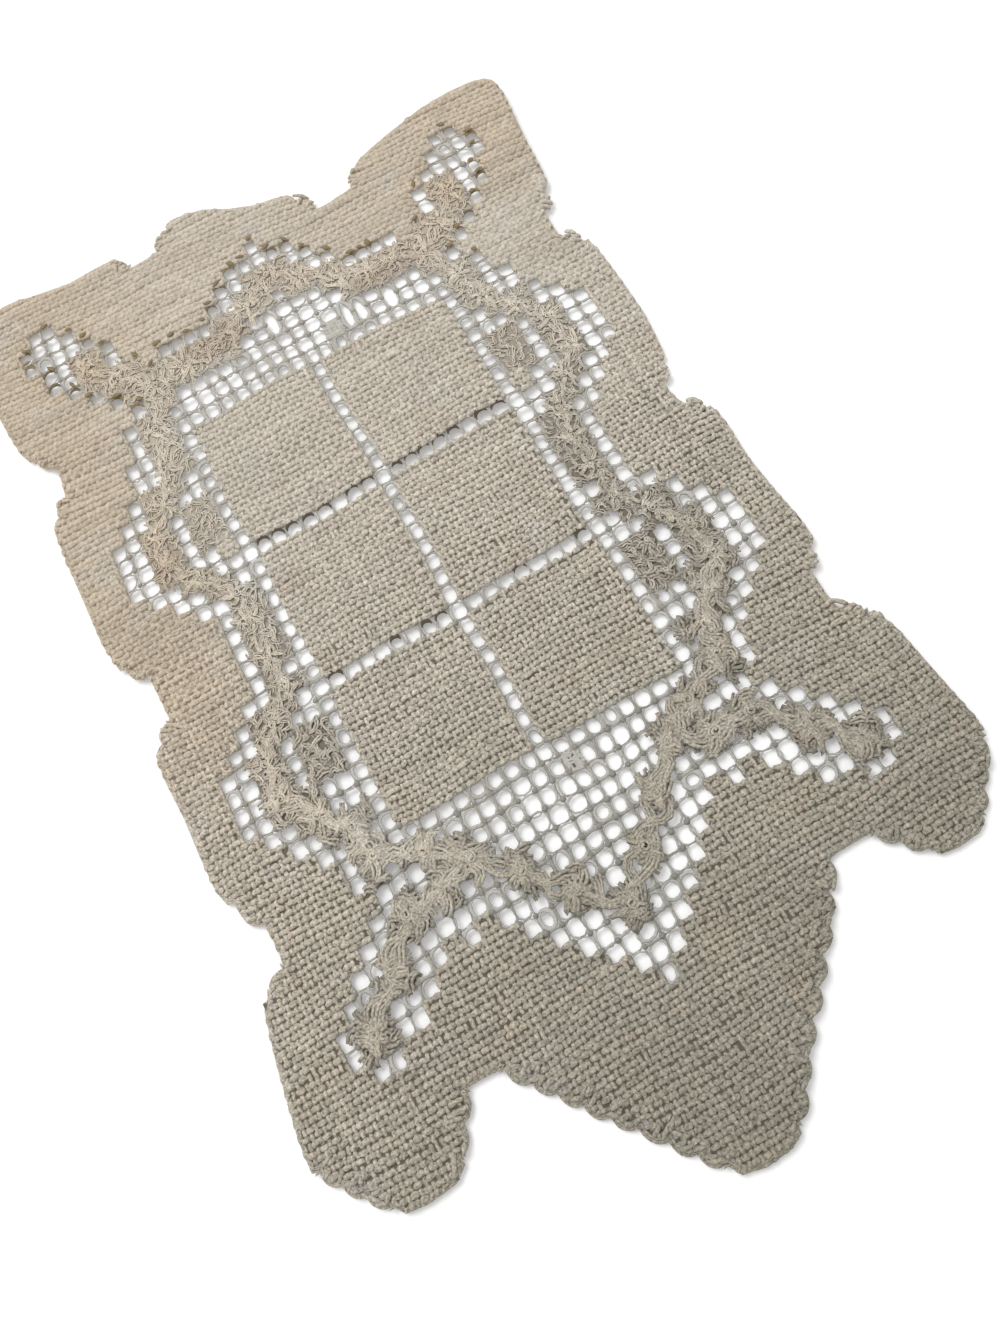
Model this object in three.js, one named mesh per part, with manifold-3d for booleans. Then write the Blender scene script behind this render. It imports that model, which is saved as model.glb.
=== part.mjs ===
import * as THREE from "three";
import { mergeVertices } from "three/addons/utils/BufferGeometryUtils.js";
import Module from "manifold-3d";

// A filet lace table mat: one square knotted net, most of it darned over in cloth stitch.
// Open meshes are left as a window of six panes and as lace beside a raised band of star knots.
// Millimetres, +Z up. The mat lies flat on z = 0 with its length along Y and its point towards -Y.
// The tables below count in meshes of the net, from the middle of the window.

// One mesh of the net, across and along the mat.
const MESH_X = 6.62;
const MESH_Y = 7.2;

// Thickness of the darned cloth, and how far the star knots and their links stand above it.
const CLOTH_THICK = 2.4;
const STAR_RISE = 1.5;
const LINK_RISE = 0.9;
// Star knots and links start this far inside the cloth, so that they are one piece with it.
const SUNK = 0.6;

// A star knot is a low cone of wound thread, and a link is a flat bundle of strands.
const STAR_FOOT_RADIUS = 6.1;
const STAR_TOP_RADIUS = 3.4;
const STAR_SIDES = 7;
const LINK_WIDTH = 4.2;

// Share of a mesh that its gap leaves open between the cords, and how unevenly, in slow waves.
const GAP_SHARE = 0.74;
const GAP_UNEVEN = 0.05;
const WAVE_X = 2.3;
const WAVE_Y = 1.7;
// Only a gap this far from every star knot, in meshes, is wide enough to be cut right through.
const GAP_CLEAR_OF_STAR = 1.75;

// The window: panes of cloth stitch, each bordered by a single row of open meshes.
const PANE = 8;
const PANES_ACROSS = 2;
const PANES_ALONG = 3;
const PANE_STEP = PANE + 1;
const WINDOW_X = (PANES_ACROSS * PANE_STEP) / 2;
const WINDOW_Y = (PANES_ALONG * PANE_STEP) / 2;
// The even rows of small gaps beside the panes are cut two meshes at a time.
const WINDOW_GAP_MESHES = 2;
// Rows of meshes that are searched for gaps, to each side of the middle.
const ROWS_X = 20;
const ROWS_Y = 30;

// How far out of square the old net lies: a slight lean, and ends that run askew.
const SHIFT_X = -0.2;
const LEAN = 0.012;
const FAR_SKEW = { amount: -0.055, from: 8, to: 18 };
const NEAR_SKEW = { amount: 0.025, from: -12, to: -28 };

// The near lace narrows to the point at this row, and the far lace has a low gable over its rows.
const NEAR_APEX = 22;
const FAR_APEX = 20;
const FAR_EAVES = 16;
const LACE_HALF_WIDTH = 9.5;

// A small darned patch inside each side scallop.
const PATCH = { fromX: 10, toX: 11, middleY: 7.5, halfY: 1.6 };

// Star knots of the right half, chain by chain, each linked to the next and mirrored to the left.
// reach is how far, along the net's lines, open meshes spread around that knot.
const STAR_CHAINS = {
  nearPoint: [
    { x: 0, y: -22, reach: 3.6 },
    { x: 2, y: -20, reach: 3.6 },
    { x: 4, y: -18, reach: 3.6 },
    { x: 6, y: -16.2, reach: 2.9 },
    { x: 8, y: -14.9, reach: 2.4 },
    { x: 10.6, y: -13.6, reach: 2.4 },
  ],
  nearFinger: [
    { x: 6, y: -16.2, reach: 2.9 },
    { x: 8.4, y: -17, reach: 3 },
    { x: 10.4, y: -17, reach: 3 },
    { x: 12.4, y: -19, reach: 3 },
    { x: 14.5, y: -21, reach: 2.8 },
  ],
  side: [
    { x: 10.6, y: -13.6, reach: 2.4 },
    { x: 10.9, y: -11.9, reach: 3 },
    { x: 12.3, y: -10.4, reach: 3.3 },
    { x: 13.6, y: -8.8, reach: 3.2 },
    { x: 13.6, y: -6.7, reach: 3.2 },
    { x: 12.2, y: -5.1, reach: 3.2 },
    { x: 10.8, y: -3.5, reach: 3 },
    { x: 10.7, y: -1.3, reach: 2.2 },
    { x: 10.7, y: 0.9, reach: 2.2 },
    { x: 10.8, y: 2.8, reach: 3 },
    { x: 12.2, y: 4.4, reach: 3.2 },
    { x: 13.6, y: 6, reach: 3.2 },
    { x: 13.6, y: 8.1, reach: 3.2 },
    { x: 12.3, y: 9.8, reach: 3.3 },
    { x: 10.9, y: 11.6, reach: 3 },
    { x: 10.5, y: 14, reach: 2.3 },
    { x: 9.4, y: 16.5, reach: 2.4 },
  ],
  farPoint: [
    { x: 0, y: 20.2, reach: 2.8 },
    { x: 1.9, y: 18.8, reach: 2.8 },
    { x: 3.7, y: 17.6, reach: 2.8 },
    { x: 5.6, y: 17.2, reach: 2.6 },
    { x: 7.5, y: 17.1, reach: 2.6 },
    { x: 9.4, y: 16.5, reach: 2.4 },
  ],
  farFinger: [
    { x: 9.4, y: 16.5, reach: 2.4 },
    { x: 11.2, y: 18, reach: 2.6 },
    { x: 12.6, y: 19.7, reach: 2.6 },
  ],
};
// The far fingers end in a clear net with no knot in it.
const FAR_FINGER_END = { x: 14.3, y: 21.6, reach: 2.6 };

// Outer edge, from the point up to the far end, with its two sides as uneven as the mat is.
// stairs is the number of one-mesh steps on the way to the next place, and 0 is a plain run.
const EDGE = [
  { place: "point", right: [0.7, -34.3], left: [-2.7, -34.2], stairs: 9 },
  { place: "end notch inner", right: [9.9, -24.5], left: [-10.5, -25], stairs: 0 },
  { place: "end notch outer", right: [11.2, -24.5], left: [-11.7, -25], stairs: 3 },
  { place: "near lobe inner foot", right: [13.9, -27.2], left: [-14.2, -28.2], stairs: 0 },
  { place: "near lobe outer foot", right: [16.5, -27.2], left: [-17.6, -28.5], stairs: 4 },
  { place: "near lobe flare", right: [19.5, -23.3], left: [-20.8, -25], stairs: 0 },
  { place: "near lobe neck", right: [18.8, -15.7], left: [-19.4, -17], stairs: 2 },
  { place: "near notch low", right: [17, -14.1], left: [-17.4, -15.8], stairs: 0 },
  { place: "near notch high", right: [17.1, -13.1], left: [-17.4, -14.8], stairs: 2 },
  { place: "near side start", right: [18.4, -11.2], left: [-19, -12], stairs: 0 },
  { place: "near side waist", right: [18, -7.5], left: [-19.1, -7.5], stairs: 0 },
  { place: "near side end", right: [18.4, -1.6], left: [-19.1, -3], stairs: 2 },
  { place: "middle notch low", right: [16.8, -0.4], left: [-17.4, -1.3], stairs: 0 },
  { place: "middle notch high", right: [16.7, 0.4], left: [-17.4, 0.2], stairs: 2 },
  { place: "far side start", right: [18.1, 2.2], left: [-19, 2.2], stairs: 0 },
  { place: "far side end", right: [18.5, 11.2], left: [-18.9, 12.2], stairs: 2 },
  { place: "far notch low", right: [16.8, 12.6], left: [-17.3, 13.7], stairs: 0 },
  { place: "far notch high", right: [16.8, 13.4], left: [-17.1, 15], stairs: 2 },
  { place: "far lobe neck", right: [18.4, 15.6], left: [-18.7, 16.8], stairs: 0 },
  { place: "far lobe flare", right: [19, 20.3], left: [-19, 21], stairs: 0 },
  { place: "far lobe shoulder", right: [19.7, 24.3], left: [-19.4, 26.3], stairs: 0 },
  { place: "far lobe corner", right: [19, 25.2], left: [-18.5, 27.5], stairs: 0 },
  { place: "far lobe top", right: [16.6, 25.6], left: [-16, 27.6], stairs: 0 },
  { place: "far lobe dip", right: [10.9, 24.9], left: [-11.7, 26.7], stairs: 0 },
  { place: "far lobe inner end", right: [8.7, 24.3], left: [-8, 26.8], stairs: 2 },
  { place: "end notch far outer", right: [7.3, 22.7], left: [-6.9, 25.4], stairs: 0 },
  { place: "end notch far inner", right: [5.8, 22.7], left: [-6, 25.4], stairs: 2 },
  { place: "far end corner", right: [4.2, 24.9], left: [-3.9, 27.4], stairs: 0 },
  { place: "far end middle", right: [1.5, 25.1], left: [-1.8, 26.9], stairs: 0 },
];

const wasm = await Module();
wasm.setup();

function easedShare(value, from, to) {
  return THREE.MathUtils.smoothstep((value - from) / (to - from), 0, 1);
}

// Where a point of the square net really lies, still in meshes.
function lie(x, y) {
  const farSkew = FAR_SKEW.amount * easedShare(y, FAR_SKEW.from, FAR_SKEW.to);
  const nearSkew = NEAR_SKEW.amount * easedShare(y, NEAR_SKEW.from, NEAR_SKEW.to);
  return [x + SHIFT_X + LEAN * y, y + (farSkew + nearSkew) * x];
}

function millimetres([x, y]) {
  return new THREE.Vector2(x * MESH_X, y * MESH_Y);
}

// Both halves of a star, with the left half mirrored, and one copy of a star on the middle line.
function bothHalves({ x, y, reach }) {
  return x === 0 ? [{ x, y, reach }] : [{ x, y, reach }, { x: -x, y, reach }];
}

function allStars() {
  const byPlace = new Map();
  for (const star of Object.values(STAR_CHAINS).flat().flatMap(bothHalves)) {
    byPlace.set(`${star.x},${star.y}`, star);
  }
  return [...byPlace.values()];
}

// The clear net between the window and the star band, at either end of the mat.
function isInEndLace(x, y) {
  if (Math.abs(x) > LACE_HALF_WIDTH || Math.abs(y) < WINDOW_Y) return false;
  if (y < 0) return Math.abs(x) <= NEAR_APEX + y;
  return y <= FAR_EAVES || Math.abs(x) <= FAR_APEX - y;
}

function isInPatch(x, y) {
  const across = Math.abs(x) >= PATCH.fromX && Math.abs(x) <= PATCH.toX;
  return across && Math.abs(Math.abs(y) - PATCH.middleY) <= PATCH.halfY;
}

// True where a mesh outside the window is left open and is wide enough to be cut through.
function isCutThrough(x, y, stars) {
  if (Math.abs(x) <= WINDOW_X && Math.abs(y) <= WINDOW_Y) return Math.abs(y) === WINDOW_Y;
  const crowded = stars.some((star) => Math.hypot(x - star.x, y - star.y) < GAP_CLEAR_OF_STAR);
  if (crowded || isInPatch(x, y)) return false;
  const ends = bothHalves(FAR_FINGER_END);
  const inReach = [...stars, ...ends].some(
    (star) => Math.abs(x - star.x) + Math.abs(y - star.y) <= star.reach,
  );
  return inReach || isInEndLace(x, y);
}

// Gaps of the lace sit between the net's cords, so their rows fall half way between whole rows.
function laceGaps(stars) {
  const gaps = [];
  for (let row = -ROWS_Y; row < ROWS_Y; row += 1) {
    for (let column = -ROWS_X; column <= ROWS_X; column += 1) {
      const y = row + 0.5;
      if (isCutThrough(column, y, stars)) gaps.push({ x: column, y, meshesX: 1, meshesY: 1 });
    }
  }
  return gaps;
}

// Places of the gaps beside a row of panes: the even net there is cut at twice its pitch.
function gapsBesidePanes(panes) {
  const places = [];
  for (let pane = 0; pane < panes; pane += 1) {
    const start = (pane - panes / 2) * PANE_STEP;
    for (let mesh = 1; mesh < PANE; mesh += WINDOW_GAP_MESHES) {
      places.push(start + mesh + (WINDOW_GAP_MESHES - 1) / 2);
    }
  }
  return places;
}

// Long gaps between the panes, and a square one at each crossing.
function windowGaps() {
  const gaps = [];
  for (let column = -WINDOW_X; column <= WINDOW_X; column += PANE_STEP) {
    for (const y of gapsBesidePanes(PANES_ALONG)) {
      gaps.push({ x: column, y, meshesX: 1, meshesY: WINDOW_GAP_MESHES });
    }
  }
  for (let row = PANE_STEP - WINDOW_Y; row < WINDOW_Y; row += PANE_STEP) {
    for (const x of gapsBesidePanes(PANES_ACROSS)) {
      gaps.push({ x, y: row, meshesX: WINDOW_GAP_MESHES, meshesY: 1 });
    }
    for (let column = -WINDOW_X; column <= WINDOW_X; column += PANE_STEP) {
      gaps.push({ x: column, y: row, meshesX: 1, meshesY: 1 });
    }
  }
  return gaps;
}

function gapOutline({ x, y, meshesX, meshesY }) {
  const cord = 1 - GAP_SHARE * (1 + GAP_UNEVEN * Math.sin(WAVE_X * x + WAVE_Y * y));
  const halfX = (meshesX - cord) / 2;
  const halfY = (meshesY - cord) / 2;
  const corners = [[-1, -1], [-1, 1], [1, 1], [1, -1]];
  return new THREE.Path(corners.map(([sideX, sideY]) => {
    return millimetres(lie(x + sideX * halfX, y + sideY * halfY));
  }));
}

// One-mesh steps between two places of the edge, with the inner corners on the cloth's side.
function stairPoints([fromX, fromY], [toX, toY], stairs) {
  const stepX = (toX - fromX) / stairs;
  const stepY = (toY - fromY) / stairs;
  const points = [];
  for (let step = 0; step < stairs; step += 1) {
    const x = fromX + step * stepX;
    const y = fromY + step * stepY;
    points.push([x, y]);
    points.push(stepX * stepY > 0 ? [x, y + stepY] : [x + stepX, y]);
  }
  return points;
}

// The whole edge, anticlockwise from the point: up the right side and down the left.
function edgePoints() {
  const up = EDGE.map(({ right, stairs }) => ({ at: right, stairs }));
  const down = EDGE.map(({ left }, index) => {
    return { at: left, stairs: index > 0 ? EDGE[index - 1].stairs : 0 };
  }).reverse();
  up[up.length - 1].stairs = 0;
  const corners = [...up, ...down];
  return corners.flatMap(({ at, stairs }, index) => {
    const next = corners[(index + 1) % corners.length].at;
    return stairs > 0 ? stairPoints(at, next, stairs) : [at];
  });
}

function solidOf(geometry) {
  geometry.deleteAttribute("normal");
  geometry.deleteAttribute("uv");
  const merged = mergeVertices(geometry);
  return new wasm.Manifold(new wasm.Mesh({
    numProp: 3,
    vertProperties: new Float32Array(merged.attributes.position.array),
    triVerts: new Uint32Array(merged.index.array),
  }));
}

function geometryOf(solid) {
  const { vertProperties, triVerts } = solid.getMesh();
  const geometry = new THREE.BufferGeometry();
  geometry.setAttribute("position", new THREE.BufferAttribute(vertProperties, 3));
  geometry.setIndex(new THREE.BufferAttribute(triVerts, 1));
  return geometry;
}

function clothSolid(stars) {
  const shape = new THREE.Shape(edgePoints().map(millimetres));
  shape.holes = [...windowGaps(), ...laceGaps(stars)].map(gapOutline);
  return solidOf(new THREE.ExtrudeGeometry(shape, { depth: CLOTH_THICK, bevelEnabled: false }));
}

function starSolid({ x, y }) {
  const height = STAR_RISE + SUNK;
  const cone = new THREE.CylinderGeometry(STAR_TOP_RADIUS, STAR_FOOT_RADIUS, height, STAR_SIDES);
  const place = millimetres(lie(x, y));
  cone.rotateX(Math.PI / 2);
  cone.translate(place.x, place.y, CLOTH_THICK - SUNK + height / 2);
  return solidOf(cone);
}

function linkSolid(from, to) {
  const start = millimetres(lie(from.x, from.y));
  const end = millimetres(lie(to.x, to.y));
  const along = end.clone().sub(start);
  const middle = start.clone().add(end).multiplyScalar(0.5);
  const height = LINK_RISE + SUNK;
  const bundle = new THREE.BoxGeometry(along.length(), LINK_WIDTH, height);
  bundle.rotateZ(along.angle());
  bundle.translate(middle.x, middle.y, CLOTH_THICK - SUNK + height / 2);
  return solidOf(bundle);
}

// A link from each star of a chain to the next, on both halves of the mat.
function linkSolids() {
  const links = [];
  for (const chain of Object.values(STAR_CHAINS)) {
    for (let index = 1; index < chain.length; index += 1) {
      for (const side of [1, -1]) {
        const from = { x: side * chain[index - 1].x, y: chain[index - 1].y };
        const to = { x: side * chain[index].x, y: chain[index].y };
        links.push(linkSolid(from, to));
      }
    }
  }
  return links;
}

// The mat in one piece, with the middle of its outline above the origin.
function laceMatGeometry() {
  const stars = allStars();
  const raised = [...stars.map(starSolid), ...linkSolids()];
  const whole = raised.reduce((mat, piece) => mat.add(piece), clothSolid(stars));
  const geometry = geometryOf(whole);
  geometry.computeBoundingBox();
  const middle = geometry.boundingBox.getCenter(new THREE.Vector3());
  geometry.translate(-middle.x, -middle.y, 0);
  geometry.computeVertexNormals();
  return geometry;
}

const cotton = new THREE.MeshStandardMaterial({ color: 0xb4a893, roughness: 0.95, metalness: 0 });

const laceMat = new THREE.Mesh(laceMatGeometry(), cotton);
laceMat.name = "lace_mat";

const mat = new THREE.Group();
mat.add(laceMat);

export default mat;
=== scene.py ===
import functools
import math

import bpy
import numpy as np
from mathutils import Matrix, Vector


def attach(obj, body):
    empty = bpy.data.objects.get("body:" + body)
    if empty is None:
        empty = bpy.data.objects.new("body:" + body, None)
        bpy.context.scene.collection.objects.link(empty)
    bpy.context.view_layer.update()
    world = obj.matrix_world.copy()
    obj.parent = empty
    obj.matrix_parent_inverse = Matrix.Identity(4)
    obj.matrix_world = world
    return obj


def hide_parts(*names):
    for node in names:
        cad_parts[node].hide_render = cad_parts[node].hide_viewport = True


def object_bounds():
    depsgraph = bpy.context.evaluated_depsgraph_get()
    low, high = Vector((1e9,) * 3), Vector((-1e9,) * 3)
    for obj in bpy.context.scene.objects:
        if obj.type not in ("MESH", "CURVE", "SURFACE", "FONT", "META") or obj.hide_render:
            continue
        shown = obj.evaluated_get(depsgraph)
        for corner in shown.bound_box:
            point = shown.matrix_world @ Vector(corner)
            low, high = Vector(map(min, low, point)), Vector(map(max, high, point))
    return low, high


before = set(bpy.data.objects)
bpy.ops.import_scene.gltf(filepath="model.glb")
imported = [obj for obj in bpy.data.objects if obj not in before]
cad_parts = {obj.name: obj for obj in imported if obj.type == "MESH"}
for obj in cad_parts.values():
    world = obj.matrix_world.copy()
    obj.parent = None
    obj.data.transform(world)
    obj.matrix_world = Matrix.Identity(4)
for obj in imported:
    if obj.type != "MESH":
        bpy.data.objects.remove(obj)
CAD_LOW, CAD_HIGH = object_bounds()

bl_info = {
    "name": "Filet lace mat",
    "version": (1, 0, 0),
    "blender": (4, 5, 0),
    "location": "3D View > Sidebar > Lace mat",
    "description": "Net cords, darned cloth, star knots and stepped edge of a filet lace table mat",
    "category": "Add Mesh",
}

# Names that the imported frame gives.
NODE = "lace_mat"
BODY = "root"

# Everything random starts from this number.
SEED = 11

# Outer edge in meshes from the middle of the window, from the point up to the far end.
# Columns: place, right x, right y, left x, left y, one-mesh stairs on the way to the next place.
EDGE = (
    ("point", 0.7, -34.3, -2.7, -34.2, 9),
    ("end notch inner", 9.9, -24.5, -10.5, -25.0, 0),
    ("end notch outer", 11.2, -24.5, -11.7, -25.0, 3),
    ("near lobe inner foot", 13.9, -27.2, -14.2, -28.2, 0),
    ("near lobe outer foot", 16.5, -27.2, -17.6, -28.5, 4),
    ("near lobe flare", 19.5, -23.3, -20.8, -25.0, 0),
    ("near lobe neck", 18.8, -15.7, -19.4, -17.0, 2),
    ("near notch low", 17.0, -14.1, -17.4, -15.8, 0),
    ("near notch high", 17.1, -13.1, -17.4, -14.8, 2),
    ("near side start", 18.4, -11.2, -19.0, -12.0, 0),
    ("near side waist", 18.0, -7.5, -19.1, -7.5, 0),
    ("near side end", 18.4, -1.6, -19.1, -3.0, 2),
    ("middle notch low", 16.8, -0.4, -17.4, -1.3, 0),
    ("middle notch high", 16.7, 0.4, -17.4, 0.2, 2),
    ("far side start", 18.1, 2.2, -19.0, 2.2, 0),
    ("far side end", 18.5, 11.2, -18.9, 12.2, 2),
    ("far notch low", 16.8, 12.6, -17.3, 13.7, 0),
    ("far notch high", 16.8, 13.4, -17.1, 15.0, 2),
    ("far lobe neck", 18.4, 15.6, -18.7, 16.8, 0),
    ("far lobe flare", 19.0, 20.3, -19.0, 21.0, 0),
    ("far lobe shoulder", 19.7, 24.3, -19.4, 26.3, 0),
    ("far lobe corner", 19.0, 25.2, -18.5, 27.5, 0),
    ("far lobe top", 16.6, 25.6, -16.0, 27.6, 0),
    ("far lobe dip", 10.9, 24.9, -11.7, 26.7, 0),
    ("far lobe inner end", 8.7, 24.3, -8.0, 26.8, 2),
    ("end notch far outer", 7.3, 22.7, -6.9, 25.4, 0),
    ("end notch far inner", 5.8, 22.7, -6.0, 25.4, 2),
    ("far end corner", 4.2, 24.9, -3.9, 27.4, 0),
    ("far end middle", 1.5, 25.1, -1.8, 26.9, 0),
)

# Star knots of the right half, chain by chain, mirrored to the left. Columns: x, y and reach in
# meshes, where reach is how far along the net's lines open meshes spread around the knot.
STAR_CHAINS = {
    "near point": (
        (0, -22, 3.6), (2, -20, 3.6), (4, -18, 3.6), (6, -16.2, 2.9), (8, -14.9, 2.4), (10.6, -13.6, 2.4),
    ),
    "near finger": ((6, -16.2, 2.9), (8.4, -17, 3), (10.4, -17, 3), (12.4, -19, 3), (14.5, -21, 2.8)),
    "side": (
        (10.6, -13.6, 2.4), (10.9, -11.9, 3), (12.3, -10.4, 3.3), (13.6, -8.8, 3.2), (13.6, -6.7, 3.2),
        (12.2, -5.1, 3.2), (10.8, -3.5, 3), (10.7, -1.3, 2.2), (10.7, 0.9, 2.2), (10.8, 2.8, 3),
        (12.2, 4.4, 3.2), (13.6, 6, 3.2), (13.6, 8.1, 3.2), (12.3, 9.8, 3.3), (10.9, 11.6, 3),
        (10.5, 14, 2.3), (9.4, 16.5, 2.4),
    ),
    "far point": (
        (0, 20.2, 2.8), (1.9, 18.8, 2.8), (3.7, 17.6, 2.8),
        (5.6, 17.2, 2.6), (7.5, 17.1, 2.6), (9.4, 16.5, 2.4),
    ),
    "far finger": ((9.4, 16.5, 2.4), (11.2, 18, 2.6), (12.6, 19.7, 2.6)),
}
# The far fingers end in a clear net with no knot in it.
FAR_FINGER_END = (14.3, 21.6, 2.6)

# The window of panes with a single row of open meshes round each, in meshes.
PANE_STEP = 9
WINDOW_X = 9
WINDOW_Y = 13.5
# The clear net at the near end narrows to this row; the far one has a low gable over its eaves.
NEAR_APEX = 22
FAR_APEX = 20
FAR_EAVES = 16
LACE_HALF_WIDTH = 9.5
# A small patch inside each side scallop that tangled thread closes: columns, middle row, half height.
PATCH_FROM_X = 10
PATCH_TO_X = 11
PATCH_MIDDLE_Y = 7.5
PATCH_HALF_Y = 1.6

# How far out of square the net lies: a slight lean, and ends that run askew between two rows.
SHIFT_X = -0.2
LEAN = 0.012
FAR_SKEW = -0.055
FAR_SKEW_ROWS = (8.0, 18.0)
NEAR_SKEW = 0.025
NEAR_SKEW_ROWS = (-12.0, -28.0)

# How far the tangled thread of each star chain spreads to either side, in meshes, and how much
# further round each knot.
FELT_HALF_WIDTHS = {
    "near point": 0.25,
    "near finger": 0.42,
    "side": 0.75,
    "far point": 0.85,
    "far finger": 1.05,
}
STAR_FELT = 0.3
# Meshes that the pattern leaves open and thin darning closes, as x and y in meshes.
MENDS = ((1, -14.5), (2, 14.5))
# Open meshes that run on into the next one towards the far end, as x and y in meshes.
JOINED = ((3, 14.5), (4, 14.5), (5, 15.5), (6, 14.5), (-1, 16.5), (12, 2.5), (14, 4.5), (-13, -3.5))

# Half widths of open meshes in metres. At each end: in the fingers, and in the rest of the star band.
NEAR_GAPS = (0.0031, 0.003)
FAR_GAPS = (0.0029, 0.0028)
# In the side scallops, in the rows round the panes, and in the two rows across between the panes.
SIDE_GAP = 0.0029
WINDOW_GAP = 0.0026
DIVIDER_GAP = 0.0031
# In the clear net of the near and of the far end.
CLEAR_GAPS = (0.00287, 0.00295)
# How uneven they are, against their size, and the widest that one may be.
GAP_UNEVEN = 0.12
WIDEST_GAP = 0.0033
# Beyond these columns the open meshes of the near and of the far end are those of the fingers.
FINGERS_FROM_X = (7, 10)
# The two rows across between the panes, with the share of their gaps that have a painted shadow on the far
# rim.
DIVIDER_SHADOWS = {4.5: 0.95, -4.5: 0.5}

# Slow unevenness of hand work. Rows: size in meshes, turn for each mesh across and along, start.
WANDER_X = ((0.07, 0.55, 0.32, 0.4), (0.05, -0.31, 0.83, 1.9), (0.03, 1.4, 0.9, 3.1))
WANDER_Y = ((0.07, 0.36, -0.5, 2.2), (0.05, 0.88, 0.27, 0.7), (0.03, -0.8, 1.5, 5.0))

# Slow waves in which the mat lies: turn for each mesh and start, across the mat and along it.
LIE_ACROSS = (0.21, 0.35)
LIE_ALONG = (0.17, 1.2)

# Threads of the cloth stitch in one mesh, each way, and the grid of meshes that is searched.
THREADS = 3
COLUMNS = 22
ROWS = 36
# Thirds of a mesh, so a thread's shoulders lie a quarter of its pitch from each crossing.
PITCH = 1.0 / THREADS
SHOULDER = PITCH / 4
# Share of the crossings at which the needle went over where it should have gone under.
MISSED_SHARE = 0.012
# The cloth is fuller towards the far end and the left: between these rows at the middle, so many rows
# further on for each column, and with this share of it in the panes.
FULL_ROWS = (-9.0, 17.0)
FULL_LEAN = 0.25
PANE_FULLNESS = 0.3
# In full cloth the threads are so much thicker and less crimped, and the weft lies so much higher.
FULLNESS = 0.42
FLATNESS = 0.8
FULL_RISE = 0.5
# A run of thread shorter than this, in meshes, isn't worked.
SHORTEST_RUN = 0.45
# Runs are looked for in steps of this size, in meshes.
RUN_STEP = 1.0 / 24
# Two threads that end this near to each other, in meshes, turn into one another.
TURN_MATCH = 0.16
TURN_STEPS = np.linspace(0.0, math.pi, 5)

# Steps round the half circle of a scallop, and how far the notches between scallops come out towards
# the line between their corners.
BUMP_STEPS = np.radians((30, 60, 90, 120, 150))
NOTCH_SHARE = 0.2
# How often the edge's corners are cut off, and how much of each side goes.
EDGE_ROUNDS = 2
CORNER_CUT = 0.25
# How far the soft edge spreads past the solid's, in meshes: towards the point, and on the left.
NEAR_GROWTH = 0.16
NEAR_GROWTH_ROWS = (-8.0, -22.0)
LEFT_GROWTH = 0.1
# How far inside the edge the backing stays, in meshes.
BACKING_INSET = 0.3
# Parts of a mesh, each way, that the backing is made of.
BACKING_SPLIT = 2
# Sides of the yarn in each piece.
CLOTH_SIDES = 5
CORD_SIDES = 5
STAR_SIDES = 4
TANGLE_SIDES = 3

# Angles are in radians unless a comment says otherwise.
FULL_TURN = 2 * math.pi
# One turn of a thread's plies, and the depth of the bumps that plies and fibres make, in metres.
PLY_LENGTH = 0.0021
BUMP_DEPTH = 0.0003

# Camera: where it stands from the frame's origin in metres, its axes, as fitted to the net, its lens and
# sensor in millimetres, and the nearest it sees in metres.
CAMERA_PLACE = (-0.01585, -0.20066, 0.42826)
CAMERA_RIGHT = (0.86407, -0.48169, -0.14616)
CAMERA_DOWN = (-0.50152, -0.79889, -0.33203)
CAMERA_LOOK = (0.04317, 0.36020, -0.93188)
CAMERA_LENS = 34.17
CAMERA_SENSOR = 36.0
CAMERA_NEAREST = 0.01
# The floor lies this far below the mat, in metres.
FLOOR_DROP = 0.0002
# The soft light comes from behind the far end and a little from the left.
KEY_FROM = (-0.35, 0.7, 1.1)


def length_prop(name, description, default):
    """A property for a size in metres."""
    return bpy.props.FloatProperty(
        name=name, description=description, default=default, unit="LENGTH", precision=5)


def number_prop(name, description, default, subtype="NONE"):
    """A property for a plain number, a share or an angle."""
    return bpy.props.FloatProperty(name=name, description=description, default=default, subtype=subtype)


def count_prop(name, description, default):
    """A property for a number of things."""
    return bpy.props.IntProperty(name=name, description=description, default=default)


def colour_prop(name, description, default):
    """A property for a colour."""
    return bpy.props.FloatVectorProperty(
        name=name, description=description, default=default, subtype="COLOR", min=0, max=1)


class NetSettings(bpy.types.PropertyGroup):
    """Sizes of the knotted net."""

    cord_width: length_prop("Cord half width", "Half the width of a net cord between its knots", 0.00098)
    cord_height: length_prop("Cord half height", "Half the height of a net cord between its knots", 0.0006)
    knot_swell: number_prop("Knot swell", "How much thicker the cord is where it is knotted", 0.9)
    cord_share: number_prop(
        "Cord share", "Share of a bar of the net that its middle cord takes", 0.6, "FACTOR")
    ring_width: length_prop(
        "Ring half width", "Usual half width of the thread round an open mesh", 0.00055)
    ring_least: length_prop("Thinnest ring", "Least half width of the thread round an open mesh", 0.0004)
    ring_height: length_prop(
        "Ring half height", "Half the height of the thread round an open mesh", 0.00025)
    ring_uneven: number_prop(
        "Ring unevenness", "How far the open meshes are out of shape, in meshes", 0.045)
    # The painted shadow on the far rim of a gap.
    shadow_width: length_prop("Hollow half width", "Half the widest part of the dark rim of a gap", 0.001)
    knot_size: length_prop("Knot size", "Half the width of a knot of the net", 0.0012)
    knot_flatness: number_prop("Knot flatness", "Height of a knot against its width", 0.72, "FACTOR")


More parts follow.
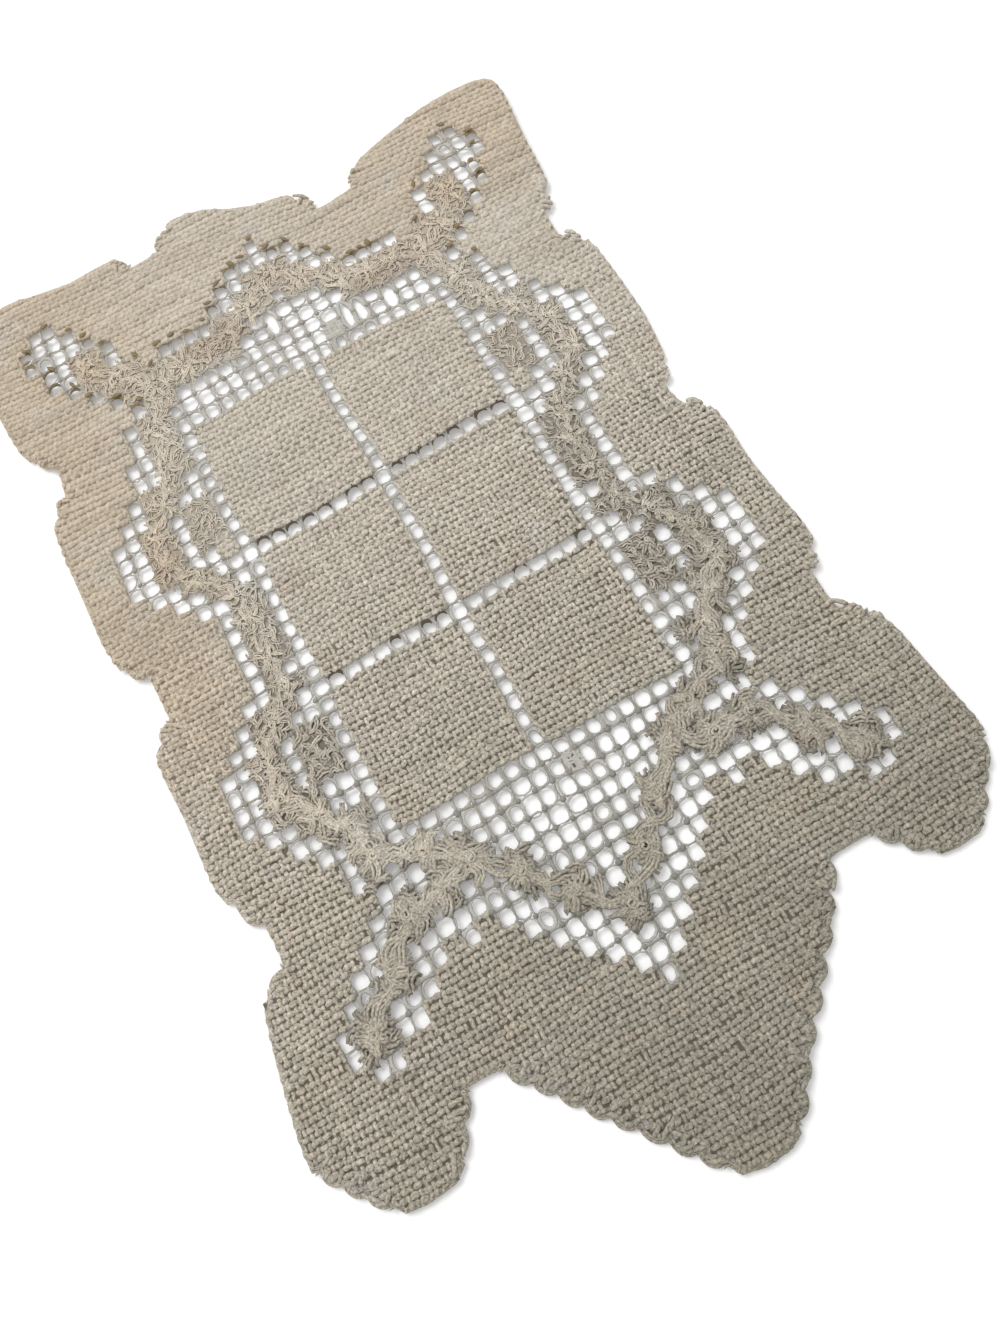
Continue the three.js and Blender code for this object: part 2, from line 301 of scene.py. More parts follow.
class ClothSettings(bpy.types.PropertyGroup):
    """Sizes of the darned cloth."""

    thickness: length_prop("Thickness", "Thickness of the darned cloth", 0.0024)
    weft_width: length_prop(
        "Weft half width", "Half the width of a thread that runs across the mat", 0.00112)
    warp_width: length_prop(
        "Warp half width", "Half the width of a thread that runs along the mat", 0.0008)
    thread_height: length_prop("Thread half height", "Half the height of a darning thread", 0.0006)
    crimp: length_prop("Crimp", "How far a thread rises over and dips under the cloth's middle", 0.00046)
    weft_rise: length_prop("Weft rise", "How much higher than the cloth's middle the weft lies", 0.00017)
    edge_inset: number_prop("Edge inset", "Where a thread turns inside the mat's edge, in meshes", 0.2)
    turn_bulge: number_prop("Turn bulge", "How far a turn of thread stands out, in meshes", 0.06)
    clearance: length_prop(
        "Clearance", "How far the lowest cloth is held off the floor by its threads", 0.0003)
    lift: length_prop("Lift", "Height of the slow waves in which the mat lies", 0.0012)
    # A dark sheet that paints the shade between the threads, and stands for felt in the star band.
    backing: length_prop(
        "Backing thickness", "Thickness of the felted thread between the two sides", 0.0004)


class StarSettings(bpy.types.PropertyGroup):
    """Sizes of the star knots and the strands that link them."""

    strand_width: length_prop("Strand half width", "Half the width of a wound strand", 0.00068)
    strand_height: length_prop("Strand half height", "Half the height of a wound strand", 0.0005)
    link_bundles: count_prop("Link bundles", "Bundles of strands from each star knot to the next", 2)
    petals: count_prop("Petals", "Loops that spread from each star knot", 6)
    curls: count_prop("Curls", "Loose bundles that lie over each star knot", 2)
    tangle: count_prop("Tangle", "Bundles of strands in each mesh that the star band closes", 8)
    rise: length_prop("Rise", "Height of a star's middle above the net's middle", 0.0015)


class EdgeSettings(bpy.types.PropertyGroup):
    """Sizes of the stitches over the stepped edge."""

    stitches: count_prop("Stitches", "Stitches over each scallop of the edge", 5)
    stitch_width: length_prop("Stitch half width", "Half the width of an edge stitch", 0.00075)
    stitch_height: length_prop("Stitch half height", "Half the height of an edge stitch", 0.00058)


class FinishSettings(bpy.types.PropertyGroup):
    """Colours of the aged cotton."""

    # From warm to grey beige towards the point: partly the cotton's own colour, partly painted shade where
    # less light falls.
    warm: colour_prop("Warm beige", "Cotton of the panes and towards the far end", (0.615, 0.56, 0.472))
    tan: colour_prop("Tan", "Browner cotton of the far and left margins", (0.585, 0.495, 0.382))
    shaded_grey: colour_prop("Grey beige", "Greyer cotton towards the point", (0.298, 0.281, 0.224))
    brown: colour_prop("Tea brown", "Tinted threads and stains", (0.44, 0.34, 0.26))
    olive: colour_prop("Olive", "Faintly green patches", (0.40, 0.39, 0.29))
    # Painted shade: dark that stands for shadow where threads dip, between them and at the rims of gaps.
    painted_shade: colour_prop("Recess", "Thread deep in the cloth", (0.1, 0.082, 0.06))
    bloom: colour_prop("Bloom", "Worn, paler patches of the cloth", (0.62, 0.60, 0.56))
    # Olive painted shade in the holes along the outer side of the far lace.
    olive_shadow: colour_prop("Moss", "Hollows along the outer side of the far lace", (0.27, 0.205, 0.115))
    cord: colour_prop("Cord grey", "Bare net cord", (0.34, 0.34, 0.325))


class StageSettings(bpy.types.PropertyGroup):
    """The floor and the lights."""

    floor_colour: colour_prop("Floor", "Colour of the plain pale floor", (0.92, 0.92, 0.92))
    floor_glow: number_prop("Floor glow", "Light that the pale floor gives of itself", 0.16)
    floor_half: length_prop("Floor half size", "Half the side of the floor", 3.0)
    sky: number_prop("Sky", "Strength of the even light from all round", 0.66)
    key_strength: number_prop("Key light", "Strength of the soft light from behind", 1.6)
    key_spread: number_prop("Key spread", "How wide the soft light is", math.radians(35), "ANGLE")


class LaceMatSettings(bpy.types.PropertyGroup):
    """Everything about the mat that a user would change."""

    net: bpy.props.PointerProperty(type=NetSettings)
    cloth: bpy.props.PointerProperty(type=ClothSettings)
    stars: bpy.props.PointerProperty(type=StarSettings)
    edge: bpy.props.PointerProperty(type=EdgeSettings)
    finish: bpy.props.PointerProperty(type=FinishSettings)
    stage: bpy.props.PointerProperty(type=StageSettings)


def settings():
    return bpy.context.scene.lace_mat


def eased(value, start, end):
    """Share of the way from start to end, slow at both."""
    share = np.clip((value - start) / (end - start), 0.0, 1.0)
    return share * share * (3.0 - 2.0 * share)


def skew(y):
    return FAR_SKEW * eased(y, *FAR_SKEW_ROWS) + NEAR_SKEW * eased(y, *NEAR_SKEW_ROWS)


def lie(x, y):
    """Where a point of the square net really lies, in meshes."""
    return x + SHIFT_X + LEAN * y, y + skew(y) * x


def waves(rows, x, y):
    """Sum of slow waves over the mat, from a table of their sizes."""
    return sum(size * np.sin(across * x + along * y + start) for size, across, along, start in rows)


def stair_points(start, end, stairs):
    """One-mesh steps from one place of the edge to the next, inner corners on the cloth's side."""
    step_x = (end[0] - start[0]) / stairs
    step_y = (end[1] - start[1]) / stairs
    points = []
    for step in range(stairs):
        x = start[0] + step * step_x
        y = start[1] + step * step_y
        points.append((x, y))
        points.append((x, y + step_y) if step_x * step_y > 0 else (x + step_x, y))
    return points


def edge_corners():
    """Places of the edge with the stairs after each, anticlockwise from the point."""
    right = [((row[1], row[2]), row[5]) for row in EDGE]
    stairs_before = [0] + [row[5] for row in EDGE[:-1]]
    left = [((row[3], row[4]), stairs) for row, stairs in zip(EDGE, stairs_before)]
    return right + left[::-1]


def edge_points():
    """Corners of the edge, and whether each is an inner corner of a stair."""
    corners = edge_corners()
    points, inner = [], []
    for index, (start, stairs) in enumerate(corners):
        end = corners[(index + 1) % len(corners)][0]
        run = stair_points(start, end, stairs) if stairs else [start]
        points.extend(run)
        inner.extend(place % 2 == 1 for place in range(len(run)))
    return np.array(points), np.array(inner)


EDGE_POINTS, EDGE_INNER = edge_points()
EDGE_LOW = EDGE_POINTS.min(0)
EDGE_HIGH = EDGE_POINTS.max(0)
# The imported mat's box gives the size of a mesh and the place of the pattern's middle.
MESH_X = (CAD_HIGH.x - CAD_LOW.x) / (EDGE_HIGH[0] - EDGE_LOW[0])
MESH_Y = (CAD_HIGH.y - CAD_LOW.y) / (EDGE_HIGH[1] - EDGE_LOW[1])
MIDDLE_X = (EDGE_LOW[0] + EDGE_HIGH[0]) / 2
MIDDLE_Y = (EDGE_LOW[1] + EDGE_HIGH[1]) / 2
MESH = (MESH_X + MESH_Y) / 2


def mirrored(rows):
    """Rows of x, y and reach with their left halves, and one copy of those on the middle line."""
    both = {(x, y): reach for x, y, reach in rows}
    both.update({(-x, y): reach for x, y, reach in rows})
    return [(x, y, reach) for (x, y), reach in both.items()]


def all_stars():
    return mirrored([star for chain in STAR_CHAINS.values() for star in chain])


def links_of(chain):
    """Pairs of neighbouring star places of one chain, on both halves."""
    for start, end in zip(chain, chain[1:]):
        for side in (1, -1):
            yield (side * start[0], start[1]), (side * end[0], end[1])


def all_links():
    return [link for chain in STAR_CHAINS.values() for link in links_of(chain)]


def in_end_lace(x, y):
    """The clear net between the window and the star band, at either end."""
    across = np.abs(x)
    near = (y < 0) & (across <= NEAR_APEX + y)
    far = (y > 0) & ((y <= FAR_EAVES) | (across <= FAR_APEX - y))
    return (across <= LACE_HALF_WIDTH) & (np.abs(y) >= WINDOW_Y) & (near | far)


def in_patch(x, y):
    across = (np.abs(x) >= PATCH_FROM_X) & (np.abs(x) <= PATCH_TO_X)
    return across & (np.abs(np.abs(y) - PATCH_MIDDLE_Y) <= PATCH_HALF_Y)


def in_window(x, y):
    return (np.abs(x) <= WINDOW_X) & (np.abs(y) <= WINDOW_Y)


def on_window_lines(x, y):
    """The single rows of open meshes round the panes."""
    upright = np.mod(x, PANE_STEP) == 0
    level = np.mod(y + WINDOW_Y, PANE_STEP) == 0
    return in_window(x, y) & (upright | level)


def left_open(x, y):
    """True where the mesh of the net round this point is left open."""
    reached = np.zeros(np.shape(x), bool)
    for star_x, star_y, reach in all_stars() + mirrored([FAR_FINGER_END]):
        reached |= np.abs(x - star_x) + np.abs(y - star_y) <= reach
    lace = (reached | in_end_lace(x, y)) & ~in_patch(x, y) & ~in_window(x, y)
    return lace | on_window_lines(x, y)


def distance_to(x, y, start, end):
    """How far places are from a straight line between two others, in meshes."""
    along = np.subtract(end, start)
    from_x, from_y = x - start[0], y - start[1]
    share = np.clip((from_x * along[0] + from_y * along[1]) / (along @ along), 0, 1)
    return np.hypot(from_x - share * along[0], from_y - share * along[1])


def felted(x, y):
    """True where tangled thread of the star band closes the mesh round this point."""
    closed = np.zeros(np.shape(x), bool)
    for name, chain in STAR_CHAINS.items():
        half_width = FELT_HALF_WIDTHS[name]
        for places in links_of(chain):
            closed |= distance_to(x, y, *places) < half_width
            for star_x, star_y in places:
                closed |= np.hypot(x - star_x, y - star_y) < half_width + STAR_FELT
    return (closed & left_open(x, y) & ~on_window_lines(x, y)) | in_patch(x, y)


def among(places, x, y):
    """True at the meshes whose x and y are in a list of places."""
    found = np.zeros(np.shape(x), bool)
    for place_x, place_y in places:
        found |= (x == place_x) & (y == place_y)
    return found


def gap_half(x, y):
    """Half the width of an open mesh by its place, in metres."""
    near = y < 0
    finger = np.abs(x) > np.where(near, *FINGERS_FROM_X)
    end = np.where(near, np.where(finger, *NEAR_GAPS), np.where(finger, *FAR_GAPS))
    half = np.where(np.abs(y) < WINDOW_Y, SIDE_GAP, end)
    half = np.where(in_end_lace(x, y), np.where(near, *CLEAR_GAPS), half)
    line = np.where(np.isin(y, list(DIVIDER_SHADOWS)) & (x != 0), DIVIDER_GAP, WINDOW_GAP)
    return np.where(on_window_lines(x, y), line, half)


def crossings(edge, across):
    """Pairs of places where a straight line of the net enters and leaves the mat."""
    start, end = edge, np.roll(edge, -1, axis=0)
    cut = (start[:, 0] > across) != (end[:, 0] > across)
    start, end = start[cut], end[cut]
    share = (across - start[:, 0]) / (end[:, 0] - start[:, 0])
    places = np.sort(start[:, 1] + share * (end[:, 1] - start[:, 1]))
    return places.reshape(-1, 2)


def true_runs(flags):
    """Start and stop of each stretch of True."""
    walled = np.concatenate(([False], flags, [False]))
    return np.flatnonzero(walled[1:] != walled[:-1]).reshape(-1, 2)


class EdgeDepth:
    """How far inside the mat's rounded edge a lain place is, in meshes, read from a fine grid."""

    # Step of the grid, its margin round the edge, and the greatest depth that it tells, in meshes.
    STEP = 0.125
    MARGIN = 3.0
    FARTHEST = 2.0
    # A place is held so many steps short of the grid's count, so that it lies between two points.
    SHORT = 1.001

    def __init__(self, edge):
        self.low = edge.min(0) - self.MARGIN
        counts = np.ceil((edge.max(0) + self.MARGIN - self.low) / self.STEP).astype(int) + 1
        self.axes = [self.low[axis] + self.STEP * np.arange(counts[axis]) for axis in (0, 1)]
        self.grid = np.full(counts, self.FARTHEST)
        for start, end in zip(edge, np.roll(edge, -1, axis=0)):
            self.draw(start, end)
        inside = np.zeros(counts, bool)
        for row, y in enumerate(self.axes[1]):
            for enter, leave in crossings(edge[:, ::-1], y):
                inside[:, row] |= (self.axes[0] > enter) & (self.axes[0] < leave)
        self.grid[~inside] *= -1

    def draw(self, start, end):
        """Brings the grid near one side of the edge down to its distance from that side."""
        window = []
        for axis in (0, 1):
            low, high = sorted((start[axis], end[axis]))
            first, last = np.searchsorted(self.axes[axis], (low - self.FARTHEST, high + self.FARTHEST))
            window.append(slice(first, last))
        x = self.axes[0][window[0], None]
        y = self.axes[1][None, window[1]]
        near = self.grid[tuple(window)]
        self.grid[tuple(window)] = np.minimum(near, distance_to(x, y, start, end))

    def __call__(self, x, y):
        """Depth at lain places, straight between the points of the grid."""
        at_x, at_y = (
            np.clip((np.asarray(place, float) - low) / self.STEP, 0, count - self.SHORT)
            for place, low, count in zip((x, y), self.low, self.grid.shape))
        column, row = at_x.astype(int), at_y.astype(int)
        share_x, share_y = at_x - column, at_y - row
        low = self.grid[column, row] * (1 - share_x) + self.grid[column + 1, row] * share_x
        high = self.grid[column, row + 1] * (1 - share_x) + self.grid[column + 1, row + 1] * share_x
        return low * (1 - share_y) + high * share_y


def edge_bumps():
    """Inner corner before, corner, and inner corner after each scallop of the edge."""
    before = np.roll(EDGE_POINTS, 1, axis=0)
    after = np.roll(EDGE_POINTS, -1, axis=0)
    is_bump = ~EDGE_INNER & np.roll(EDGE_INNER, 1) & np.roll(EDGE_INNER, -1)
    return {index: (before[index], EDGE_POINTS[index], after[index]) for index in np.flatnonzero(is_bump)}


def half_round(before, corner, after, turn):
    """Places on the half circle over one scallop, through its corner."""
    middle = (before + after) / 2
    turn = np.asarray(turn)[..., None]
    return middle + np.cos(turn) * (before - middle) + np.sin(turn) * (corner - middle)


def scalloped_edge():
    """The edge with a half circle over each step and its other corners rounded."""
    bumps = edge_bumps()
    loop = []
    for index, corner in enumerate(EDGE_POINTS):
        if EDGE_INNER[index]:
            between = EDGE_POINTS[index - 1] / 2 + EDGE_POINTS[index + 1] / 2
            corner = corner + NOTCH_SHARE * (between - corner)
        loop.extend(half_round(*bumps[index], BUMP_STEPS) if index in bumps else [corner])
    loop = rounded(np.array(loop), EDGE_ROUNDS)
    growth = NEAR_GROWTH * eased(loop[:, 1], *NEAR_GROWTH_ROWS) + LEFT_GROWTH * (loop[:, 0] < 0)
    return inset_loop(loop, -growth[:, None])


def inset_loop(loop, inset):
    """A closed loop moved inwards, square to the line between each point's neighbours."""
    along = np.roll(loop, -1, axis=0) - np.roll(loop, 1, axis=0)
    along = along / np.hypot(along[:, 0], along[:, 1])[:, None]
    return loop + inset * np.stack([-along[:, 1], along[:, 0]], 1)


def rounded(loop, rounds):
    """A closed loop of points with its corners cut off again and again."""
    for _ in range(rounds):
        after = np.roll(loop, -1, axis=0)
        first = (1 - CORNER_CUT) * loop + CORNER_CUT * after
        second = CORNER_CUT * loop + (1 - CORNER_CUT) * after
        loop = np.stack([first, second], 1).reshape(-1, 2)
    return loop


class Chart:
    """The mat mesh by mesh: columns start at COLUMN_START and rows at -ROWS."""

    COLUMN_START = -COLUMNS - 0.5

    def __init__(self):
        self.edge = scalloped_edge()
        self.depth = EdgeDepth(self.edge)
        columns = np.arange(-COLUMNS, COLUMNS + 1)
        rows = np.arange(-ROWS, ROWS) + 0.5
        x, y = np.meshgrid(columns, rows, indexing="ij")
        self.felt = felted(x, y)
        self.mend = among(MENDS, x, y)
        self.open = left_open(x, y) & ~self.felt & ~self.mend
        self.cloth = ~(self.open | self.felt | self.mend)
        self.joined = among(JOINED, x, y) & self.open
        self.joined[:, :-1] &= self.open[:, 1:]
        uneven = np.random.default_rng(SEED).normal(0, GAP_UNEVEN, x.shape)
        self.gap = np.where(self.open, np.minimum(gap_half(x, y) * (1.0 + uneven), WIDEST_GAP), 0.0)
        lines = (THREADS * len(columns) + 1, THREADS * len(rows) + 1)
        self.missed = np.random.default_rng(SEED).uniform(size=lines) < MISSED_SHARE


@functools.cache
def chart():
    return Chart()


def lain_place(x, y):
    """Metres on the floor for a place given in lain meshes, with the unevenness of hand work."""
    uneven_x = x + waves(WANDER_X, x, y)
    uneven_y = y + waves(WANDER_Y, x, y)
    return (uneven_x - MIDDLE_X) * MESH_X, (uneven_y - MIDDLE_Y) * MESH_Y


def middle_height(x, y):
    """Height of the cloth's middle above the floor, where the mat lies in slow waves."""
    cloth = settings().cloth
    wave = np.sin(LIE_ACROSS[0] * x + LIE_ACROSS[1]) * np.sin(LIE_ALONG[0] * y + LIE_ALONG[1])
    return cloth.thickness / 2 + cloth.clearance + cloth.lift * (0.5 + 0.5 * wave)


def lain_points(x, y, height):
    """Points in metres for lain places in meshes, so far above the cloth's middle."""
    place_x, place_y = lain_place(x, y)
    return np.stack([place_x, place_y, middle_height(x, y) + height], -1)


def on_mat(x, y, height=0.0):
    """Points in metres for places of the net in meshes, so far above the cloth's middle."""
    return lain_points(*lie(np.asarray(x, float), np.asarray(y, float)), height)


class Strands:
    """Runs of thread for one piece: points, how far over each is (which also paints shade), its thickness
    and tint.
    """

    LAYERS = ("over", "swell", "tone")

    def __init__(self):
        self.points = []
        self.layers = {name: [] for name in self.LAYERS}

    def lay(self, points, over=0.0, swell=1.0, tone=0.0):
        self.points.append(np.asarray(points, float))
        for name, value in zip(self.LAYERS, (over, swell, tone)):
            self.layers[name].append(np.broadcast_to(np.asarray(value, float), len(points)))

    def mesh(self, name):
        """A mesh of edges alone, one chain of them for each run."""
        counts = np.array([len(run) for run in self.points])
        points = np.concatenate(self.points)
        inner = np.ones(len(points), bool)
        inner[np.cumsum(counts) - 1] = False
        starts = np.flatnonzero(inner)
        made = bpy.data.meshes.new(name)
        made.vertices.add(len(points))
        made.vertices.foreach_set("co", points.astype(np.float32).ravel())
        made.edges.add(len(starts))
        made.edges.foreach_set("vertices", np.stack([starts, starts + 1], 1).astype(np.int32).ravel())
        for layer, values in self.layers.items():
            attribute = made.attributes.new(layer, "FLOAT", "POINT")
            attribute.data.foreach_set("value", np.concatenate(values).astype(np.float32))
        made.update()
        return made


class Tree:
    """A Geometry Nodes tree under construction, with named inputs."""

    def __init__(self, name):
        self.group = bpy.data.node_groups.new(name, "GeometryNodeTree")
        self.add_socket("Geometry", "NodeSocketGeometry")
        self.group.interface.new_socket("Geometry", in_out="OUTPUT", socket_type="NodeSocketGeometry")
        self.inputs = self.group.nodes.new("NodeGroupInput")
        self.result = self.group.nodes.new("NodeGroupOutput")

    def add_socket(self, name, kind):
        return self.group.interface.new_socket(name, in_out="INPUT", socket_type=kind)

    def node(self, kind, set_to=None, **sockets):
        """A node of this type, with its settings made first and then its sockets fed."""
        made = self.group.nodes.new(kind)
        for name, value in (set_to or {}).items():
            setattr(made, name, value)
        for name, value in sockets.items():
            self.feed(made.inputs[name.replace("_", " ")], value)
        return made.outputs

    def feed(self, socket, value):
        if isinstance(value, bpy.types.NodeSocket):
            self.group.links.new(value, socket)
        else:
            socket.default_value = value

    def given(self, name):
        return self.inputs.outputs[name]

    def attribute(self, name):
        return self.node("GeometryNodeInputNamedAttribute", Name=name)["Attribute"]

    def stored(self, geometry, name, value):
        made = self.node("GeometryNodeStoreNamedAttribute", Geometry=geometry, Name=name, Value=value)
        return made["Geometry"]

    def maths(self, operation, first, second=0.0):
        made = self.group.nodes.new("ShaderNodeMath")
        made.operation = operation
        self.feed(made.inputs[0], first)
        self.feed(made.inputs[1], second)
        return made.outputs[0]

    def random(self, low, high):
        """A number for each point, from the tree's seed."""
        made = self.group.nodes.new("FunctionNodeRandomValue")
        self.feed(made.inputs[2], low)
        self.feed(made.inputs[3], high)
        self.feed(made.inputs["Seed"], self.given("Seed"))
        return made.outputs[1]

    def finish(self, geometry):
        """Ends the tree as plain, smooth faces with the given material."""
        smooth = self.node("GeometryNodeSetShadeSmooth", Geometry=geometry)["Geometry"]
        real = self.node("GeometryNodeRealizeInstances", Geometry=smooth)["Geometry"]
        worn = self.node("GeometryNodeSetMaterial", Geometry=real, Material=self.given("Material"))
        self.group.links.new(worn["Geometry"], self.result.inputs["Geometry"])
        return self.group


@functools.cache
def yarn_tree():
    """Turns chains of edges into crimped, elliptical yarn."""
    tree = Tree("Yarn")
    for name in ("Half width", "Half height", "Crimp"):
        tree.add_socket(name, "NodeSocketFloat")
    tree.add_socket("Sides", "NodeSocketInt")
    tree.add_socket("Material", "NodeSocketMaterial")
    rise = tree.maths("MULTIPLY", tree.attribute("over"), tree.given("Crimp"))
    offset = tree.node("ShaderNodeCombineXYZ", Z=rise)["Vector"]
    crimped = tree.node("GeometryNodeSetPosition", Geometry=tree.given("Geometry"), Offset=offset)
    path = tree.node("GeometryNodeMeshToCurve", Mesh=crimped["Geometry"])["Curve"]
    upright = tree.node("GeometryNodeSetCurveNormal", {"mode": "Z_UP"}, Curve=path)["Curve"]
    length = tree.node("GeometryNodeSplineParameter")["Length"]
    path = tree.stored(upright, "along", length)
    sides = tree.given("Sides")
    ring = tree.node("GeometryNodeCurvePrimitiveCircle", Resolution=sides, Radius=1.0)["Curve"]
    turn = tree.maths("MULTIPLY", tree.node("GeometryNodeSplineParameter")["Factor"], FULL_TURN)
    ring = tree.stored(ring, "round_cos", tree.maths("COSINE", turn))
    ring = tree.stored(ring, "round_sin", tree.maths("SINE", turn))
    # A quarter turn gives a yarn of five sides a flat one on top.
    quarter = (0.0, 0.0, FULL_TURN / 4)
    ring = tree.node("GeometryNodeTransform", Geometry=ring, Rotation=quarter)["Geometry"]
    size = tree.node(
        "ShaderNodeCombineXYZ", X=tree.given("Half width"), Y=tree.given("Half height"), Z=1.0)["Vector"]
    ring = tree.node("GeometryNodeTransform", Geometry=ring, Scale=size)["Geometry"]
    swell = tree.attribute("swell")
    tube = tree.node(
        "GeometryNodeCurveToMesh", Curve=path, Profile_Curve=ring, Scale=swell, Fill_Caps=True)
    return tree.finish(tube["Mesh"])


# A knot of the net: sides and rings of its ball, and its least and greatest size against the usual one.
KNOT_SIDES = 7
KNOT_RINGS = 4
KNOT_SIZES = (0.85, 1.15)


@functools.cache
def knot_tree():
    """Sets a small squashed ball with a random turn and size on each point of a mesh."""
    tree = Tree("Knots")
    for name in ("Size", "Flatness"):
        tree.add_socket(name, "NodeSocketFloat")
    tree.add_socket("Seed", "NodeSocketInt")
    tree.add_socket("Material", "NodeSocketMaterial")
    ball = tree.node("GeometryNodeMeshUVSphere", Segments=KNOT_SIDES, Rings=KNOT_RINGS, Radius=1.0)["Mesh"]
    turn = tree.node("ShaderNodeCombineXYZ", Z=tree.random(0.0, math.pi))["Vector"]
    turn = tree.node("FunctionNodeEulerToRotation", Euler=turn)["Rotation"]
    size = tree.maths("MULTIPLY", tree.random(*KNOT_SIZES), tree.given("Size"))
    height = tree.maths("MULTIPLY", size, tree.given("Flatness"))
    scale = tree.node("ShaderNodeCombineXYZ", X=size, Y=size, Z=height)["Vector"]
    places = tree.given("Geometry")
    knots = tree.node(
        "GeometryNodeInstanceOnPoints", Points=places, Instance=ball, Rotation=turn, Scale=scale)
    return tree.finish(knots["Instances"])


def build_piece(name, mesh):
    """An object at the origin that rides on the mat's body and stands for its solid."""
    piece = bpy.data.objects.new(name, mesh)
    bpy.context.scene.collection.objects.link(piece)
    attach(piece, BODY)
    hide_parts(NODE)
    return piece


def grown(name, mesh, group, sizes):
    """The plain mesh that a Geometry Nodes tree grows from this one, with the named sizes."""
    holder = bpy.data.objects.new(name + "_paths", mesh)
    bpy.context.scene.collection.objects.link(holder)
    modifier = holder.modifiers.new(group.name, "NODES")
    modifier.node_group = group
    for item in group.interface.items_tree:
        if item.in_out == "INPUT" and item.name in sizes:
            modifier[item.identifier] = sizes[item.name]
    graph = bpy.context.evaluated_depsgraph_get()
    made = bpy.data.meshes.new_from_object(
        holder.evaluated_get(graph), preserve_all_data_layers=True, depsgraph=graph)
    made.name = name
    holder.modifiers.remove(modifier)
    bpy.data.objects.remove(holder)
    bpy.data.meshes.remove(mesh)
    return made


def yarn_piece(name, strands, half_width, half_height, sides, finish, crimp=0.0):
    """A piece of yarn along these strands, in the finish of that name."""
    sizes = {
        "Half width": half_width,
        "Half height": half_height,
        "Crimp": crimp,
        "Sides": sides,
        "Material": finish_named(finish),
    }
    return build_piece(name, grown(name, strands.mesh(name), yarn_tree(), sizes))


def cloth_fullness(x, y):
    """0 to 1, from the clear plain weave at the near end to the full, flat cloth at the far end."""
    return eased(y - FULL_LEAN * x, *FULL_ROWS) * np.where(in_window(x, y), PANE_FULLNESS, 1.0)


class Run:
    """One run of darning thread: its line, its two ends in meshes, and which of them turn back."""

    def __init__(self, line, first, last):
        self.line = line
        self.ends = [first, last]
        self.turned = [False, False]


